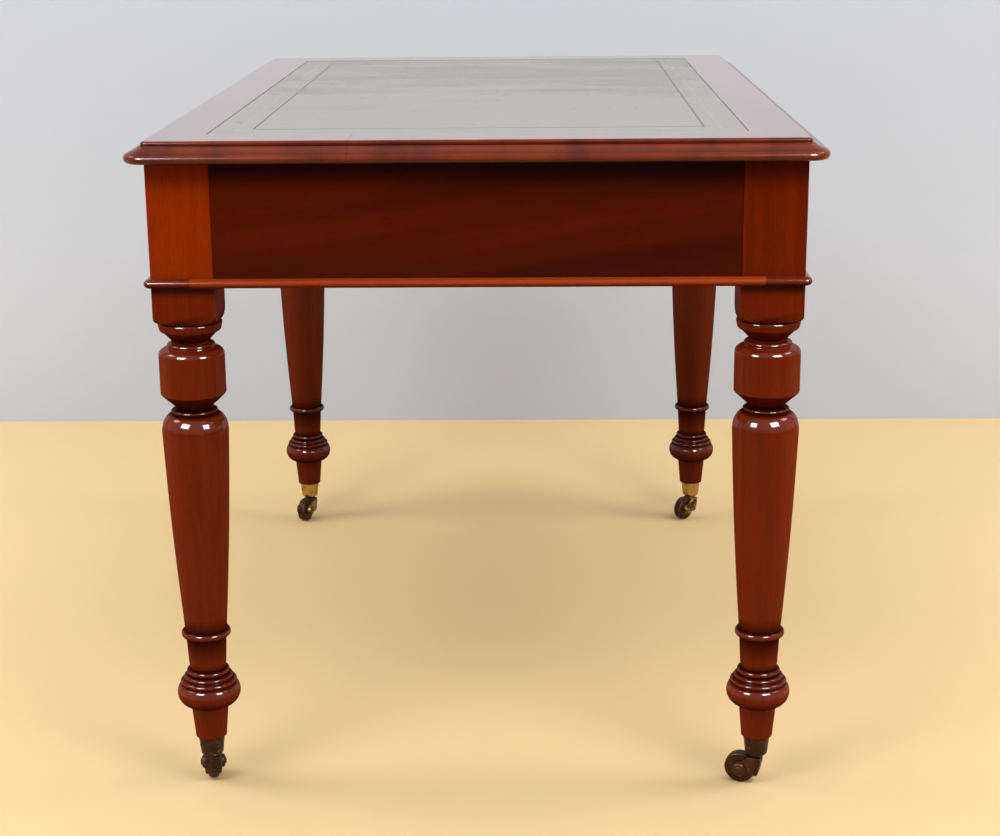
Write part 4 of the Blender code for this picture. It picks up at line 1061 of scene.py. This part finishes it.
def pale_floor(colour):
    """A plain floor that keeps its brightness for the camera where the lamps don't reach."""
    floor = Finish("pale_floor", Base_Color=(*colour, 1), Roughness=0.8, Specular_IOR_Level=0.0)
    away = floor.node("VectorMath", {"operation": "LENGTH"}, {0: floor.place()}, "Value")
    glow = floor.node("Emission", None, {"Color": (*toned(colour, 1.15), 1)})
    floor.veil(away.between(1.9, 4.2) * floor.node("LightPath", output="Is Camera Ray"), glow)
    return floor.material


def pale_wall(colour):
    """A plain wall with painted light towards its foot, against the table's shadow, and clear when it is seen
    from behind.
    """
    wall = Finish("pale_wall", Roughness=0.9)
    height = wall.part(wall.place(), "Z")
    # Painted light: the wall is lighter towards its foot
    wall.surface(Base_Color=wall.mix(height.between(0.1, 0.75), toned(colour, 1.12), colour))
    wall.veil(wall.node("NewGeometry", output="Backfacing"), wall.node("BsdfTransparent"))
    return wall.material


def sky(settings):
    """Light from all round, with a brighter background for the camera and for reflections."""
    world = bpy.data.worlds.new("daylight")
    world.use_nodes = True
    nodes = Nodes(world.node_tree)
    camera, glossy = (nodes.node("LightPath", output=ray) for ray in ("Is Camera Ray", "Is Glossy Ray"))
    background = nodes.tree.nodes["Background"].inputs
    nodes.feed(background["Color"], (0.95, 0.98, 1, 1))
    nodes.feed(background["Strength"], nodes.node("MapRange", None, {
        "Value": camera.most(glossy), "To Min": settings.daylight, "To Max": settings.background}))
    return world


def fitted_camera():
    """The camera that was fitted to the photograph."""
    lens = bpy.data.cameras.new("camera")
    lens.sensor_fit = "HORIZONTAL"
    lens.sensor_width = 36
    lens.lens = LENS
    camera = linked("camera", lens)
    camera.matrix_world = (Matrix.Translation(CAMERA_PLACE) @ Matrix.Rotation(CAMERA_TURN, 4, "Z")
                           @ Matrix.Rotation(QUARTER - CAMERA_TILT, 4, "X")
                           @ Matrix.Rotation(CAMERA_ROLL, 4, "Z"))
    return camera


class TABLE_OT_stage(bpy.types.Operator):
    """Set the floor, the wall, the lamps and the camera"""
    bl_idname = "writing_table.stage"
    bl_label = "Stage"

    def execute(self, context):
        scene = context.scene
        settings = scene.table_stage
        distance = settings.wall_distance
        sheet("floor", (-FLOOR_SIDE / 2, -FLOOR_SIDE / 2, 0), (FLOOR_SIDE, 0, 0), (0, FLOOR_SIDE, 0),
              pale_floor(settings.floor))
        sheet("wall", (-WALL_SIDE / 2, distance, 0), (WALL_SIDE, 0, 0), (0, 0, WALL_HEIGHT),
              pale_wall(settings.wall))
        near_end = (0, -0.3, 0.45)
        for side, sign in SIDES.items():
            lamp(side + "_front_light", (sign * 1.2, -1.8, 2.5), near_end, (0.9, 0.9), 26, glossy=False)
            lamp(side + "_softbox", (sign * 0.86, -1.42, 1.22), near_end, (0.6, 0.55), 40, diffuse=False)
            lamp(side + "_window", (sign * 2.1, -0.35, 2.3), (0, 0, 0.5), (0.9, 0.7), 14)
            lamp(side + "_fill", (sign * 2.6, 0.0, 0.9), (0, 0, 0.2), (1.2, 0.8), 34, glossy=False)
        lamp("ceiling", (0, -0.9, 2.8), (0, -0.9, 0), (5, 4), 68, glossy=False)
        lamp("front_fill", (0, -3.2, 1.7), (0, 0, 0.3), (2.4, 1.4), 8, glossy=False)
        lamp("wall_wash", (0, 0.5, 2.0), (0, distance, 1.0), (1.2, 0.3), 7, glossy=False)
        scene.world = sky(settings)
        scene.camera = fitted_camera()
        scene.view_settings.view_transform = "Standard"
        return {"FINISHED"}


# Panel and registration

OPERATORS = (TABLE_OT_stage, TABLE_OT_top, TABLE_OT_leather, TABLE_OT_legs, TABLE_OT_bead, TABLE_OT_frame,
             TABLE_OT_drawers, TABLE_OT_castors)
SETTINGS = {"table_top": TopSettings, "table_leg": LegSettings, "table_finish": FinishSettings,
            "table_stage": StageSettings}


class TABLE_PT_pieces(bpy.types.Panel):
    """The table's sizes, colours and pieces"""
    bl_idname = "TABLE_PT_pieces"
    bl_label = "Writing table"
    bl_space_type = "VIEW_3D"
    bl_region_type = "UI"
    bl_category = "Writing table"

    def draw(self, context):
        column = self.layout.column()
        for name in SETTINGS:
            group = getattr(context.scene, name)
            for setting in group.bl_rna.properties:
                if not setting.is_readonly and setting.identifier != "name":
                    column.prop(group, setting.identifier)
        for operator in OPERATORS:
            column.operator(operator.bl_idname)


def register():
    for group in SETTINGS.values():
        bpy.utils.register_class(group)
    for operator in OPERATORS:
        bpy.utils.register_class(operator)
    bpy.utils.register_class(TABLE_PT_pieces)
    for name, group in SETTINGS.items():
        setattr(bpy.types.Scene, name, bpy.props.PointerProperty(type=group))


def unregister():
    for name in SETTINGS:
        delattr(bpy.types.Scene, name)
    bpy.utils.unregister_class(TABLE_PT_pieces)
    for kind in (*OPERATORS, *SETTINGS.values()):
        bpy.utils.unregister_class(kind)


def main():
    register()
    for operator in OPERATORS:
        getattr(bpy.ops.writing_table, operator.bl_idname.split(".")[1])()


if __name__ == "__main__":
    main()
